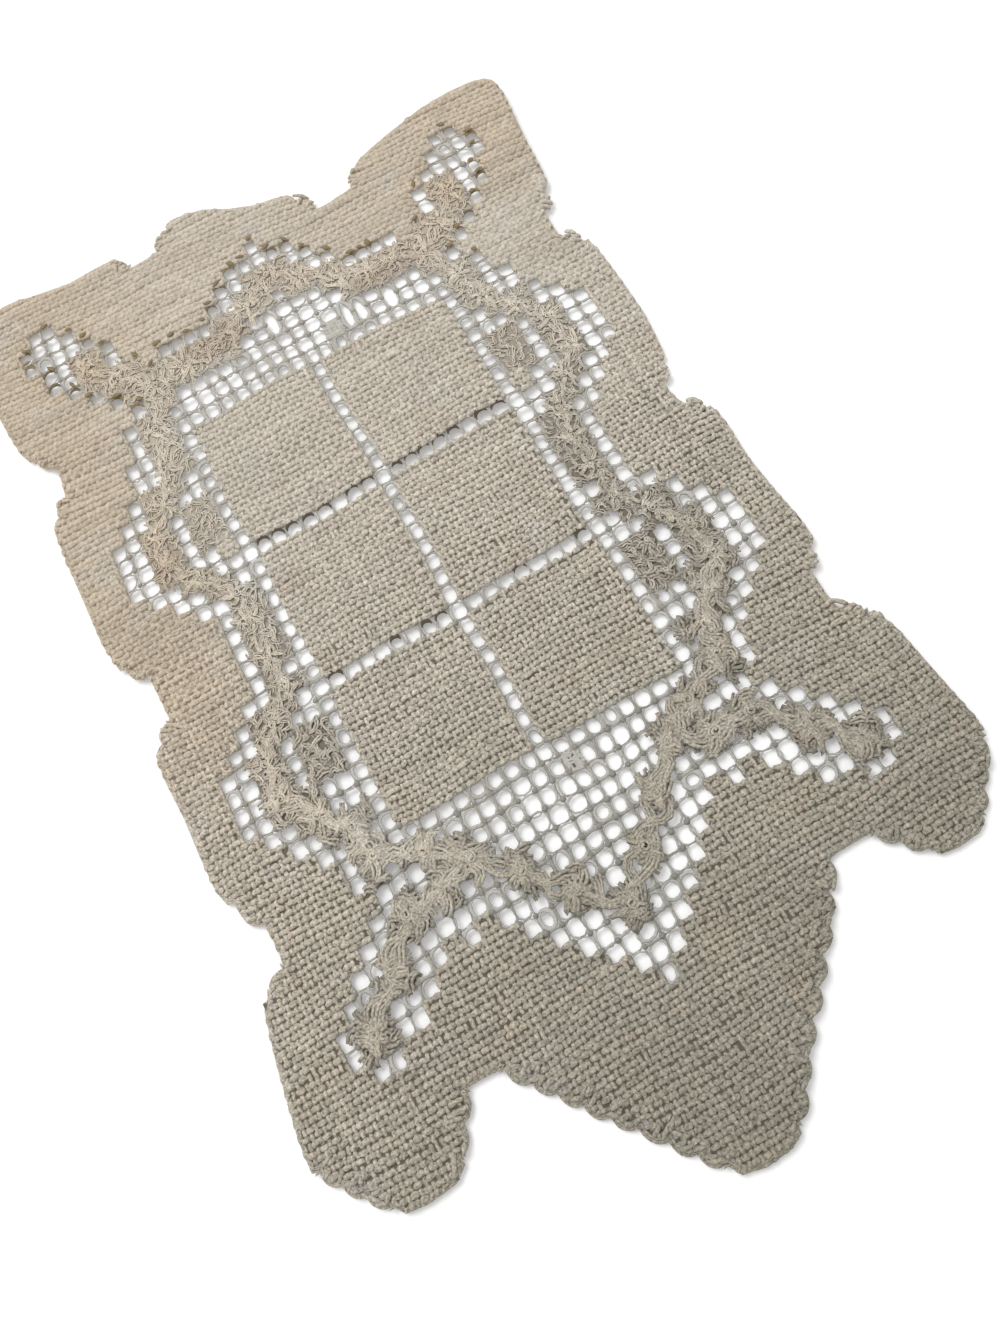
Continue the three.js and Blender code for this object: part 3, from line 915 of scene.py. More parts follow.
class Darning:
    """One direction of the cloth stitch: warp runs along the mat, weft across it."""

    # Thickness of a thread: unevenness run by run and point by point, and what it gains where it is over.
    RUN_SWELL = 0.05
    POINT_SWELL = 0.08
    OVER_SWELL = 0.1
    # A loose end is tucked under and thin, and painted shade darkens it.
    END_OVER = -0.3
    END_SWELL = 0.6
    # How far a thread strays from its line, in meshes: in slow waves, run by run and point by point.
    SLOW_STRAY = 0.03
    SLOW_WAVES = (0.5, 1.1)
    RUN_STRAY = 0.018
    POINT_STRAY = 0.02
    # Unevenness of the crimp, against the crimp.
    CRIMP_UNEVEN = 0.18

    def __init__(self, is_warp):
        plan = chart()
        self.is_warp = is_warp
        self.cloth = plan.cloth if is_warp else plan.cloth.T
        starts = (plan.COLUMN_START, -ROWS)
        self.start_across, self.start_along = starts if is_warp else starts[::-1]
        self.runs = {line: self.runs_on(line) for line in range(1, THREADS * len(self.cloth))}
        self.turns = self.find_turns()

    def across(self, line):
        return self.start_across + line * PITCH

    def runs_on(self, line):
        """Runs of thread on one line: through darned meshes, inside the edge."""
        inset = settings().cloth.edge_inset
        cell, part = divmod(line, THREADS)
        darned = self.cloth[cell] if part else self.cloth[cell - 1] | self.cloth[cell]
        runs = []
        for start, stop in true_runs(darned) + self.start_along:
            along = np.arange(start, stop, RUN_STEP)
            deep = chart().depth(*self.lain(self.across(line), along)) > inset
            for first, last in true_runs(deep):
                if along[last - 1] - along[first] > SHORTEST_RUN:
                    runs.append(Run(line, along[first], along[last - 1]))
        return runs

    def net_place(self, across, along):
        return (across, along) if self.is_warp else (along, across)

    def lain(self, across, along):
        return lie(*self.net_place(across, along))

    def find_turns(self):
        """Places where a thread turns into the next: low ends of even lines, high ends of odd ones."""
        turns = []
        for line, runs in self.runs.items():
            end = line % 2
            for run in runs:
                for other in self.runs.get(line + 1, ()):
                    if abs(run.ends[end] - other.ends[end]) < TURN_MATCH:
                        run.ends[end] = other.ends[end] = (run.ends[end] + other.ends[end]) / 2
                        run.turned[end] = other.turned[end] = True
                        turns.append((line, run.ends[end], end))
        return turns

    def sign(self, line, crossing):
        """1 where this thread passes over the other direction's thread, and -1 where under."""
        missed = chart().missed
        missed = missed[line, crossing] if self.is_warp else missed[crossing, line]
        return np.where((crossing + line + self.is_warp + missed) % 2 == 0, 1.0, -1.0)

    def points(self, across, along):
        return on_mat(*self.net_place(across, along))

    def place(self, run):
        """The middle of a run, as x and y in meshes."""
        return self.net_place(self.across(run.line), sum(run.ends) / 2)

    def crimped(self, run):
        """Places along one run, two shoulders to a crossing, and whether each is over or under."""
        first, last = run.ends
        low = math.ceil((first - self.start_along) * THREADS - SHOULDER)
        high = math.floor((last - self.start_along) * THREADS + SHOULDER)
        crossing = np.arange(low, high + 1)
        over = np.repeat(self.sign(run.line, crossing), 2)
        along = np.repeat(self.start_along + crossing * PITCH, 2)
        along = along + np.tile((-SHOULDER, SHOULDER), len(crossing))
        inner = (along > first + SHOULDER / 2) & (along < last - SHOULDER / 2)
        over = np.concatenate((over[:1], over[inner], over[-1:]))
        return np.concatenate(([first], along[inner], [last])), over

    def thread(self, run, rng):
        """Points, over and swell of one run, with the small unevenness of darning by hand."""
        along, over = self.crimped(run)
        full = cloth_fullness(*self.net_place(self.across(run.line), along))
        swell = 1.0 + FULLNESS * full + rng.normal(0, self.RUN_SWELL) + self.OVER_SWELL * over
        swell = swell + rng.normal(0, self.POINT_SWELL, len(along))
        for end, index in ((0, 0), (1, -1)):
            if not run.turned[end]:
                over[index] = self.END_OVER
                swell[index] = self.END_SWELL
        wave = np.sin(along * rng.uniform(*self.SLOW_WAVES) + rng.uniform(0, FULL_TURN))
        across = self.across(run.line) + rng.normal(0, self.RUN_STRAY) + self.SLOW_STRAY * wave
        across = across + rng.normal(0, self.POINT_STRAY, len(along))
        over = over * (1.0 - FLATNESS * full + rng.normal(0, self.CRIMP_UNEVEN, len(along)))
        return self.lifted(self.points(across, along), full), over, swell

    def lifted(self, points, full):
        """The weft lies a little higher than the warp, more so in full cloth, so that its rows show."""
        points[:, 2] += settings().cloth.weft_rise * (1.0 + FULL_RISE * full) * (-1 if self.is_warp else 1)
        return points

    def turn(self, line, place, end):
        """Points and over of the bend in which a thread turns into its neighbour."""
        bulge = settings().cloth.turn_bulge * (1 if end else -1)
        across = self.across(line + 0.5) - PITCH / 2 * np.cos(TURN_STEPS)
        along = place + bulge * np.sin(TURN_STEPS)
        nearest = round((place - self.start_along) * THREADS)
        over = self.sign(line, nearest) * np.cos(TURN_STEPS)
        full = cloth_fullness(*self.net_place(across, along))
        return self.lifted(self.points(across, along), full), over


def cloth_part(x, y):
    """Which piece of the cloth a thread at this place belongs to."""
    if in_window(x, y):
        return "panes"
    return "near" if y < 0 else "far"


def darned_strands(darning, rng):
    """Strands of one direction of the cloth, sorted by the piece that they belong to."""
    parts = {"panes": Strands(), "near": Strands(), "far": Strands()}
    for runs in darning.runs.values():
        for run in runs:
            points, over, swell = darning.thread(run, rng)
            parts[cloth_part(*darning.place(run))].lay(points, over, swell, rng.normal(0, 1))
    for line, place, end in darning.turns:
        points, over = darning.turn(line, place, end)
        middle = Run(line, place, place)
        parts[cloth_part(*darning.place(middle))].lay(points, over, 1.0, rng.normal(0, 1))
    return parts


def net_lines(is_warp):
    """Stretches of bare cord beside open meshes: place across, first knot along, half widths of bars."""
    plan = chart()
    opened, gap = (plan.open, plan.gap) if is_warp else (plan.open.T, plan.gap.T)
    cut = np.zeros(opened.shape, bool) if is_warp else plan.joined.T
    starts = (plan.COLUMN_START, -ROWS)
    start_across, start_along = starts if is_warp else starts[::-1]
    for cell in range(1, len(opened)):
        wider = np.maximum(gap[cell - 1], gap[cell])
        for first, last in true_runs((opened[cell - 1] | opened[cell]) & ~cut[cell - 1]):
            yield start_across + cell, start_along + first, MESH / 2 - wider[first:last]


# Places along one bar of the net, and how much of the knots' swell each has.
CORD_STEPS = np.array((0.0, 0.2, 0.5, 0.8))
CORD_KNOTTED = np.array((1.0, 0.45, 0.0, 0.45))
# How far a cord sways and strays from its line, in meshes, its waves, and its unevenness of thickness.
CORD_SWAY = 0.05
CORD_WAVES = 2.3
CORD_STRAY = 0.02
CORD_UNEVEN = 0.05


def cord_strands(rng):
    """Bare cords of the net, thicker towards each knot."""
    net = settings().net
    strands = Strands()
    for is_warp in (True, False):
        for across, first, halves in net_lines(is_warp):
            bars = len(halves)
            along = np.concatenate([first + bar + CORD_STEPS for bar in range(bars)] + [[first + bars]])
            halves = np.append(np.repeat(halves, len(CORD_STEPS)), halves[-1])
            knotted = np.append(np.tile(CORD_KNOTTED, bars), CORD_KNOTTED[0])
            swell = halves * net.cord_share / net.cord_width * (1.0 + net.knot_swell * knotted)
            sway = CORD_SWAY * np.sin(along * CORD_WAVES + rng.uniform(0, FULL_TURN))
            line = across + (sway + rng.normal(0, CORD_STRAY, len(along)))
            points = on_mat(line, along) if is_warp else on_mat(along, line)
            swell = swell * (1 + rng.normal(0, CORD_UNEVEN, len(swell)))
            strands.lay(points, 0.0, swell, rng.normal(0, 1))
    return strands


# Thin darning of a mended mesh: threads each way and points along them as shares of the mesh, and how far
# a thread and its points stray.
MEND_THREADS = np.linspace(0.05, 0.95, 7)
MEND_POINTS = np.linspace(-0.1, 1.1, 7)
MEND_STRAY = 0.05
MEND_POINT_STRAY = 0.03
# Height of the darning, in ring heights, and its thickness, each with its unevenness.
MEND_LEVEL = 0.2
MEND_LEVEL_UNEVEN = 0.3
MEND_SWELL = 1.15
MEND_SWELL_UNEVEN = 0.15


def lay_mend(strands, column, row, aside, is_warp, rng):
    """One thread of the thin darning in a mended mesh."""
    count = len(MEND_POINTS)
    across = aside + rng.normal(0, MEND_STRAY) + rng.normal(0, MEND_POINT_STRAY, count)
    x, y = (across, MEND_POINTS) if is_warp else (MEND_POINTS, across)
    points = on_mat(Chart.COLUMN_START + column + x, row - ROWS + y)
    level = rng.normal(MEND_LEVEL, MEND_LEVEL_UNEVEN, count)
    points[:, 2] += level * settings().net.ring_height
    strands.lay(points, level, MEND_SWELL + rng.normal(0, MEND_SWELL_UNEVEN, count), rng.normal(0, 1))


def mend_strands(rng):
    """Thin darning both ways in each mended mesh."""
    strands = Strands()
    for column, row in zip(*np.nonzero(chart().mend)):
        for aside in MEND_THREADS:
            for is_warp in (True, False):
                lay_mend(strands, column, row, aside, is_warp, rng)
    return strands


# Steps round the ring in an open mesh, and the power that makes it a little square.
RING_STEPS = 10
RING_POWER = 2.3
# How much the turns of a ring overlap, and their height in cord heights.
RING_OVERLAP = 1.6
RING_LEVEL = -0.5
# Unevenness of a ring's height, in ring heights, and of its thickness.
RING_LEVEL_UNEVEN = 0.3
RING_SWELL_UNEVEN = 0.1
# An open mesh that runs on into the next is longer by this much each way, in meshes, and narrower.
JOINED_LONGER = 0.5
JOINED_NARROWER = 0.4


def squared(turn):
    """Reach of a slightly square ring at each turn, against that of a round one."""
    sides = np.abs(np.cos(turn)) ** RING_POWER + np.abs(np.sin(turn)) ** RING_POWER
    return sides ** (-1 / RING_POWER)


def lay_ring(strands, column, row, rng):
    """Turns of thread round one open mesh."""
    net = settings().net
    plan = chart()
    longer = JOINED_LONGER * plan.joined[column, row]
    half = plan.gap[column, row] * (1.0 - JOINED_NARROWER * longer)
    bar = MESH / 2 - half
    turns = max(round(bar / (2 * net.ring_width)), 1)
    tube = max(RING_OVERLAP * bar / (2 * turns), net.ring_least)
    turn = np.linspace(0, FULL_TURN * turns, RING_STEPS * turns + 1)
    turn = np.append(turn, turn[-1] + turn[1])
    reach = half + tube + np.linspace(0, 2 * tube * (turns - 1), len(turn))
    radius = squared(turn) * reach / MESH * (1 + rng.normal(0, net.ring_uneven / 2, len(turn)))
    across, along, lean = rng.normal(0, net.ring_uneven, 3)
    x = Chart.COLUMN_START + column + 0.5 + across + radius * np.cos(turn + 2 * lean) * (1 + lean)
    stretch = radius * (1 - lean) + longer
    y = row + 0.5 + longer - ROWS + along + stretch * np.sin(turn + 2 * lean)
    uneven = rng.normal(0, RING_LEVEL_UNEVEN, len(turn))
    height = RING_LEVEL * net.cord_height + uneven * net.ring_height
    swell = tube / net.ring_width * (1 + rng.normal(0, RING_SWELL_UNEVEN, len(turn)))
    strands.lay(on_mat(x, y, height), 0.0, swell, rng.normal(0, 1))


def ring_strands(rng):
    """Soft turns of thread round each open mesh, which round its gap and cover its half of the bars."""
    plan = chart()
    strands = Strands()
    second = np.zeros(plan.open.shape, bool)
    second[:, 1:] = plan.joined[:, :-1]
    for column, row in zip(*np.nonzero(plan.open & ~second)):
        lay_ring(strands, column, row, rng)
    return strands


# A dark crescent of painted shadow on the far rim of a gap: its points as shares of its length, where its
# middle is and how far it goes round, in degrees, how far that strays, in radians, and its thickness at
# the ends and between.
CRESCENT_POINTS = np.linspace(0.0, 1.0, 7)
CRESCENT_MIDDLE = 90
CRESCENT_SPAN = 160
CRESCENT_STRAY = 0.2
CRESCENT_THIN = 0.15
CRESCENT_THICK = (0.6, 0.9)
# How far from the middle of its gap a crescent lies, in half gaps, and its height in metres.
CRESCENT_REACH = 0.9
CRESCENT_LEVEL = 0.0004
# Tone of the painted shadows between the panes, and tones to choose from at the outer side of the far
# lace.
DIVIDER_TONE = -1.0
OUTER_TONES = (0.0, 1.0, 1.0)
# How much of their share the painted shadows on the right of the window have, and the share of those at
# the outer side.
RIGHT_SHADOWS = 0.75
OUTER_SHADOWS = 0.7
# Olive spots of painted shade at the outer side of the far lace: their share, height in star rises, place
# along a mesh and how far they stray across it.
SPOT_SHARE = 0.75
SPOT_LEVEL = 0.9
SPOT_PLACES = (0.35, 0.65)
SPOT_STRAY = 0.2
# Points of a spot as shares of its length, its heading, length in meshes and thickness.
SPOT_POINTS = np.linspace(-0.5, 0.5, 5)
SPOT_TURN = 0.6
SPOT_LENGTHS = (0.4, 0.7)
SPOT_THIN = 0.1
SPOT_THICK = (0.8, 1.2)


def lay_crescent(strands, x, y, reach, tone, rng):
    """A painted shadow on the far rim of one gap: grey where the tone is low, olive where it is high."""
    turn = np.radians(CRESCENT_MIDDLE + CRESCENT_SPAN * (CRESCENT_POINTS - 0.5))
    turn = turn + rng.normal(0, CRESCENT_STRAY)
    points = on_mat(x + reach * np.cos(turn), y + reach * np.sin(turn), CRESCENT_LEVEL)
    swell = CRESCENT_THIN + rng.uniform(*CRESCENT_THICK) * np.sin(math.pi * CRESCENT_POINTS)
    strands.lay(points, 0.0, swell, tone)


def lay_spot(strands, x, y, rng):
    """A short olive spot of painted shade between the threads."""
    heading = rng.normal(0, SPOT_TURN)
    along = rng.uniform(*SPOT_LENGTHS) * SPOT_POINTS
    height = settings().stars.rise * SPOT_LEVEL
    points = on_mat(x + along * math.cos(heading), y + along * math.sin(heading), height)
    strands.lay(points, 0.0, SPOT_THIN + rng.uniform(*SPOT_THICK) * np.cos(math.pi * SPOT_POINTS), 1.0)


def at_far_rim(column, row):
    """True for a mesh of the far lace with cloth beyond it, towards the far end or outwards."""
    plan = chart()
    outwards = int(np.sign(column - COLUMNS))
    beyond = plan.cloth[column, row + 1] or plan.cloth[column + outwards, row]
    return row + 0.5 - ROWS > WINDOW_Y and beyond


def shadow_strands(rng):
    """Painted shadows at the gaps between the panes, and olive painted shade along the far lace's outer
    side.
    """
    plan = chart()
    strands = Strands()
    for column, row in zip(*np.nonzero(plan.open)):
        x, y = column - COLUMNS, row + 0.5 - ROWS
        reach = CRESCENT_REACH * plan.gap[column, row] / MESH
        divider = DIVIDER_SHADOWS.get(y, 0.0) if abs(x) < WINDOW_X and x != 0 else 0.0
        if rng.uniform() < divider * (1.0 if x < 0 else RIGHT_SHADOWS):
            lay_crescent(strands, x, y, reach, DIVIDER_TONE, rng)
        elif at_far_rim(column, row) and rng.uniform() < OUTER_SHADOWS:
            lay_crescent(strands, x, y, reach, rng.choice(OUTER_TONES), rng)
    for column, row in zip(*np.nonzero(plan.felt | plan.open)):
        x, y = column - COLUMNS, row + 0.5 - ROWS
        if at_far_rim(column, row) and rng.uniform() < SPOT_SHARE:
            lay_spot(strands, x + rng.normal(0, SPOT_STRAY), y + rng.uniform(*SPOT_PLACES), rng)
    return strands


def knot_places():
    """Crossings of the net with an open mesh beside them, in meshes."""
    opened = chart().open
    beside = opened[:-1, :-1] | opened[1:, :-1] | opened[:-1, 1:] | opened[1:, 1:]
    column, row = np.nonzero(beside)
    return column + 1 + Chart.COLUMN_START, row + 1.0 - ROWS


# The star band is worked finer towards the far end: between these rows, by so much, and with this share
# of its height kept however fine it is.
FINE_ROWS = (-16.0, -2.0)
FINER = 0.52
FINE_RISE = 0.4


def band_fineness(y):
    """How thick and wide the star band is worked at a row, against its near end."""
    return 1.0 - FINER * eased(y, *FINE_ROWS)


def band_rise(fine):
    """How high the star band stands where it is so fine, against its near end."""
    return FINE_RISE + (1 - FINE_RISE) * fine


def band_heading(x, y):
    """Direction of the nearest link of the star band."""
    start, end = min(all_links(), key=lambda link: distance_to(x, y, *link))
    return math.atan2(end[1] - start[1], end[0] - start[0])


# A bundle: its usual number of strands, places along it as shares of its length, waves in that length and
# how far they turn it, in radians.
BUNDLE_STRANDS = 3
BUNDLE_POINTS = np.linspace(-0.5, 0.5, 6)
BUNDLE_WAVES = (0.5, 1.0)
BUNDLE_TURNS = (0.3, 0.8)
# How far apart its strands lie and stray, in meshes, and how much wider the bundle is at the top of a
# wave.
BUNDLE_SPREAD = 0.175
BUNDLE_STRAY = 0.03
BUNDLE_WIDER = 0.3
# How far its ends sink, and the unevenness of its height, in star rises.
BUNDLE_SINK = 0.35
BUNDLE_LEVEL_UNEVEN = 0.06
# Unevenness of a strand's thickness, also in the petals.
STRAND_UNEVEN = 0.1


def lay_bundle(strands, centre, heading, length, count, level, swell, rng, sway):
    """A few strands side by side in one soft bend, with both ends tucked in."""
    points = len(BUNDLE_POINTS)
    wave = FULL_TURN * (BUNDLE_POINTS * rng.uniform(*BUNDLE_WAVES) + rng.uniform())
    bend = heading + sway * rng.uniform(*BUNDLE_TURNS) * np.sin(wave)
    step = length / (points - 1)
    x, y = np.cumsum(np.cos(bend)) * step, np.cumsum(np.sin(bend)) * step
    x, y = centre[0] + x - x.mean(), centre[1] + y - y.mean()
    spread = BUNDLE_SPREAD * swell * (1 + BUNDLE_WIDER * np.cos(wave))
    sunk = level - BUNDLE_SINK * (2 * BUNDLE_POINTS) ** 2
    for strand in range(count):
        aside = (strand - (count - 1) / 2) * spread + rng.normal(0, BUNDLE_STRAY, points)
        height = sunk + rng.normal(0, BUNDLE_LEVEL_UNEVEN, points)
        lay_strand(strands, x - aside * np.sin(bend), y + aside * np.cos(bend), height, swell, rng)


def lay_strand(strands, x, y, height, swell, rng):
    """One strand of the star band, with painted shade where it is low. Its height is in star rises."""
    points = on_mat(x, y, height * settings().stars.rise)
    strands.lay(points, 2 * height - 1, swell * (1 + rng.normal(0, STRAND_UNEVEN)), rng.normal(0, 1))


# Bundles from one star knot to the next: how far apart, in meshes, how far they turn from the straight
# line, their length against it, their height and how much they sway.
LINK_SPREAD = 0.32
LINK_TURN = 0.22
LINK_LENGTHS = (0.75, 0.95)
LINK_LEVELS = (0.85, 1.0)
LINK_SWAY = 1.3


def lay_link(strands, start, end, rng):
    """Bundles side by side that run from one star knot to the next."""
    bundles = settings().stars.link_bundles
    start, end = np.array(start), np.array(end)
    along = end - start
    length = np.hypot(*along)
    heading = math.atan2(along[1], along[0])
    fine = band_fineness(start[1])
    for bundle in range(bundles):
        aside = LINK_SPREAD * fine * (bundle - (bundles - 1) / 2)
        middle = start + along / 2 + aside * np.array((-along[1], along[0])) / length
        turn = heading + rng.normal(0, LINK_TURN)
        reach = length * rng.uniform(*LINK_LENGTHS)
        level = rng.uniform(*LINK_LEVELS) * fine
        lay_bundle(strands, middle, turn, reach, BUNDLE_STRANDS, level, fine, rng, LINK_SWAY)


# One loop of a star knot: shares of its reach and of half its width, out and back, and the strand
# inside it.
PETAL_OUT = np.array((0.3, 0.5, 0.78, 0.96, 0.96, 0.78, 0.5, 0.3))
PETAL_ASIDE = np.array((0.6, 0.9, 1.0, 0.6, -0.6, -1.0, -0.9, -0.6))
PETAL_INNER = np.array((0.3, 0.5, 0.75, 0.9))
# Its half width and its reach in meshes, how far it curves aside, waves and strays, also in meshes.
PETAL_WIDTH = 0.17
PETAL_REACHES = (0.65, 1.1)
PETAL_CURVE = 0.4
PETAL_WAVE = 0.08
PETAL_STRAY = 0.02
# Its height in star rises, the share of it that is lost at the tip, its unevenness, and how far the loops
# are out of even turns, in radians.
PETAL_LEVELS = (0.85, 1.1)
PETAL_DROP = 0.55
PETAL_LEVEL_UNEVEN = 0.05
PETAL_TURN = 0.3


def lay_petal(strands, centre, angle, reach, level, swell, rng):
    """A loop that goes out from a star knot and back, with one more strand inside it."""
    curve = rng.normal(0, PETAL_CURVE)
    start = rng.uniform(0, FULL_TURN)
    for out, aside in ((PETAL_OUT, PETAL_ASIDE), (PETAL_INNER, np.zeros(len(PETAL_INNER)))):
        points = len(out)
        along = reach * out + rng.normal(0, PETAL_STRAY, points)
        wave = PETAL_WAVE * np.sin(FULL_TURN * out + start)
        across = PETAL_WIDTH * swell * aside + wave + curve * out * out
        across = across + rng.normal(0, PETAL_STRAY, points)
        height = level * (1.0 - PETAL_DROP * out * out) + rng.normal(0, PETAL_LEVEL_UNEVEN, points)
        x = along * np.cos(angle) - across * np.sin(angle)
        y = along * np.sin(angle) + across * np.cos(angle)
        lay_strand(strands, centre[0] + x, centre[1] + y, height, swell, rng)


def lay_petals(strands, centre, rng):
    """Loops of thread that spread from the middle of a star knot."""
    petals = settings().stars.petals
    fine = band_fineness(centre[1])
    first_angle = rng.uniform(0, FULL_TURN)
    for petal in range(petals):
        angle = first_angle + FULL_TURN * petal / petals + rng.normal(0, PETAL_TURN)
        reach = rng.uniform(*PETAL_REACHES)
        level = rng.uniform(*PETAL_LEVELS) * band_rise(fine)
        lay_petal(strands, centre, angle, reach, level, fine, rng)


# Loose bundles over a star knot: how far from its middle and how long, in meshes, height and sway.
CURL_STRAY = 0.4
CURL_LENGTHS = (0.8, 1.3)
CURL_LEVELS = (0.9, 1.15)
CURL_SWAY = 1.0


def lay_curls(strands, centre, rng):
    """Loose bundles in any direction over a star knot."""
    fine = band_fineness(centre[1])
    for _ in range(settings().stars.curls):
        middle = np.array(centre) + rng.normal(0, CURL_STRAY, 2)
        heading = rng.uniform(0, FULL_TURN / 2)
        level = rng.uniform(*CURL_LEVELS) * band_rise(fine)
        length = rng.uniform(*CURL_LENGTHS)
        lay_bundle(strands, middle, heading, length, BUNDLE_STRANDS, level, fine, rng, CURL_SWAY)


# The wound middle of a star knot: its turn at each point in radians, its radius in meshes and its
# height in star rises from the first point to the last, and its size against the usual one.
COIL_TURNS = np.linspace(0, 3.4 * math.pi, 14)
COIL_RADII = np.linspace(0.08, 0.34, len(COIL_TURNS))
COIL_LEVELS = np.linspace(1.15, 1.0, len(COIL_TURNS))
COIL_SIZES = (0.9, 1.15)


def lay_coil(strands, centre, rng):
    """The wound middle of a star knot."""
    fine = band_fineness(centre[1])
    radius = COIL_RADII * rng.uniform(*COIL_SIZES) * band_rise(fine)
    turn = COIL_TURNS + rng.uniform(0, FULL_TURN)
    level = COIL_LEVELS * band_rise(fine)
    x = centre[0] + radius * np.cos(turn)
    y = centre[1] + radius * np.sin(turn)
    # Its lower turns get painted shade through how far over they count.
    strands.lay(on_mat(x, y, level * settings().stars.rise), 2 * level - 1, fine, rng.normal(0, 1))


def star_strands(rng):
    """Petals, curls and wound middle of every star knot, and the links between them."""
    strands = Strands()
    for x, y, _ in all_stars():
        lay_petals(strands, (x, y), rng)
        lay_curls(strands, (x, y), rng)
        lay_coil(strands, (x, y), rng)
    for start, end in all_links():
        lay_link(strands, start, end, rng)
    return strands


# Bundles that close a mesh: strands in each, height in star rises, how far they turn from the band,
# length in meshes and thickness. They sway more where the band is fine.
TANGLE_STRANDS = 2
TANGLE_LEVELS = (0.3, 0.8)
TANGLE_TURN = 0.9
TANGLE_LENGTHS = (0.55, 1.2)
TANGLE_SWELL = 1.1
TANGLE_SWAY = 1.4
FINE_SWAY = 1.7


def tangle_strands(rng):
    """Short bundles, roughly along the star band, that close its meshes and the side patches."""
    tangle = settings().stars.tangle
    strands = Strands()
    for column, row in zip(*np.nonzero(chart().felt)):
        fine = band_fineness(row - ROWS)
        sway = TANGLE_SWAY * (FINE_SWAY - fine)
        for bundle in range(tangle):
            x = Chart.COLUMN_START + column + (bundle % 2 + rng.uniform()) / 2
            y = row - ROWS + (bundle + rng.uniform()) / tangle
            level = rng.uniform(*TANGLE_LEVELS) * band_rise(fine)
            heading = band_heading(x, y) + rng.normal(0, TANGLE_TURN)
            length = rng.uniform(*TANGLE_LENGTHS)
            swell = TANGLE_SWELL * fine
            lay_bundle(strands, (x, y), heading, length, TANGLE_STRANDS, level, swell, rng, sway)
    return strands


# Cords round the rim: how far inside the edge in meshes, and height in stitch heights. Then how far
# over they count as, which sets their painted shade, and their thickness and its unevenness.
RIM_CORDS = ((0.1, -0.3), (0.22, 0.1))
RIM_OVER = 0.2
RIM_SWELL = 0.8
RIM_UNEVEN = 0.07


def rim_strands(rng):
    """Cords that run right round the edge, closed on themselves."""
    edge = settings().edge
    strands = Strands()
    for inset, height in RIM_CORDS:
        loop = inset_loop(chart().edge, inset)[::2]
        loop = np.concatenate([loop, loop[:2]])
        swell = RIM_SWELL + rng.normal(0, RIM_UNEVEN, len(loop))
        points = lain_points(loop[:, 0], loop[:, 1], height * edge.stitch_height)
        strands.lay(points, RIM_OVER, swell, rng.normal(0, 1))
    return strands


# A stitch over the edge, from under the rim inwards: how far in, in meshes, how high, in half
# thicknesses of the cloth, which also sets its painted shade where it is low, and how thick.
STITCH_INWARD = np.array((-0.02, 0.08, 0.22, 0.42, 0.65))
STITCH_LEVEL = np.array((-0.4, 0.4, 0.9, 0.75, 0.1))
STITCH_PLUMP = np.array((0.9, 1.1, 1.25, 1.15, 0.8))
# How far stitches stray from even places, in stitches, their length against the usual one, how far they
# lean and their unevenness of thickness.
STITCH_STRAY = 0.14
STITCH_LENGTHS = (0.6, 1.15)
STITCH_LEAN = 0.45
STITCH_UNEVEN = 0.08


def edge_strands(rng):
    """Plump stitches over each scallop of the edge, from under its rim inwards across the mat."""
    stitches = settings().edge.stitches
    strands = Strands()
    for before, corner, after in edge_bumps().values():
        side = np.sign((before + after)[0] / 2 - corner[0])
        for stitch in range(stitches):
            turn = math.pi * (stitch + 0.5 + rng.normal(0, STITCH_STRAY)) / stitches
            rim = half_round(before, corner, after, turn)
            x = rim[0] + side * STITCH_INWARD * rng.uniform(*STITCH_LENGTHS)
            y = rim[1] + rng.normal(0, STITCH_LEAN) * STITCH_INWARD
            points = lain_points(x, y, STITCH_LEVEL * settings().cloth.thickness / 2)
            swell = STITCH_PLUMP * (1 + rng.normal(0, STITCH_UNEVEN))
            strands.lay(points, STITCH_LEVEL, swell, rng.normal(0, 1))
    return strands


def backing_squares():
    """Grid of parts of a mesh, True where there is darned cloth well inside the edge."""
    plan = chart()
    darned = np.repeat(np.repeat(~plan.open, BACKING_SPLIT, 0), BACKING_SPLIT, 1)
    x = Chart.COLUMN_START + (np.arange(darned.shape[0]) + 0.5) / BACKING_SPLIT
    y = -ROWS + (np.arange(darned.shape[1]) + 0.5) / BACKING_SPLIT
    x, y = np.meshgrid(x, y, indexing="ij")
    return darned & (plan.depth(*lie(x, y)) > BACKING_INSET)


def side_quads(squares, corner):
    """Walls of the backing: one for each side of a square with no square beyond it."""
    walled = np.pad(squares, 1)
    inner = walled[1:-1, 1:-1]
    walls = []
    for step, first, second in (
        ((-1, 0), (0, 1), (0, 0)),
        ((1, 0), (1, 0), (1, 1)),
        ((0, -1), (0, 0), (1, 0)),
        ((0, 1), (1, 1), (0, 1)),
    ):
        beyond = np.roll(walled, (-step[0], -step[1]), (0, 1))[1:-1, 1:-1]
        column, row = np.nonzero(inner & ~beyond)
        low_first = corner(column + first[0], row + first[1], 0)
        low_second = corner(column + second[0], row + second[1], 0)
        high_second = corner(column + second[0], row + second[1], 1)
        high_first = corner(column + first[0], row + first[1], 1)
        walls.append(np.stack([low_first, low_second, high_second, high_first], 1))
    return np.concatenate(walls)


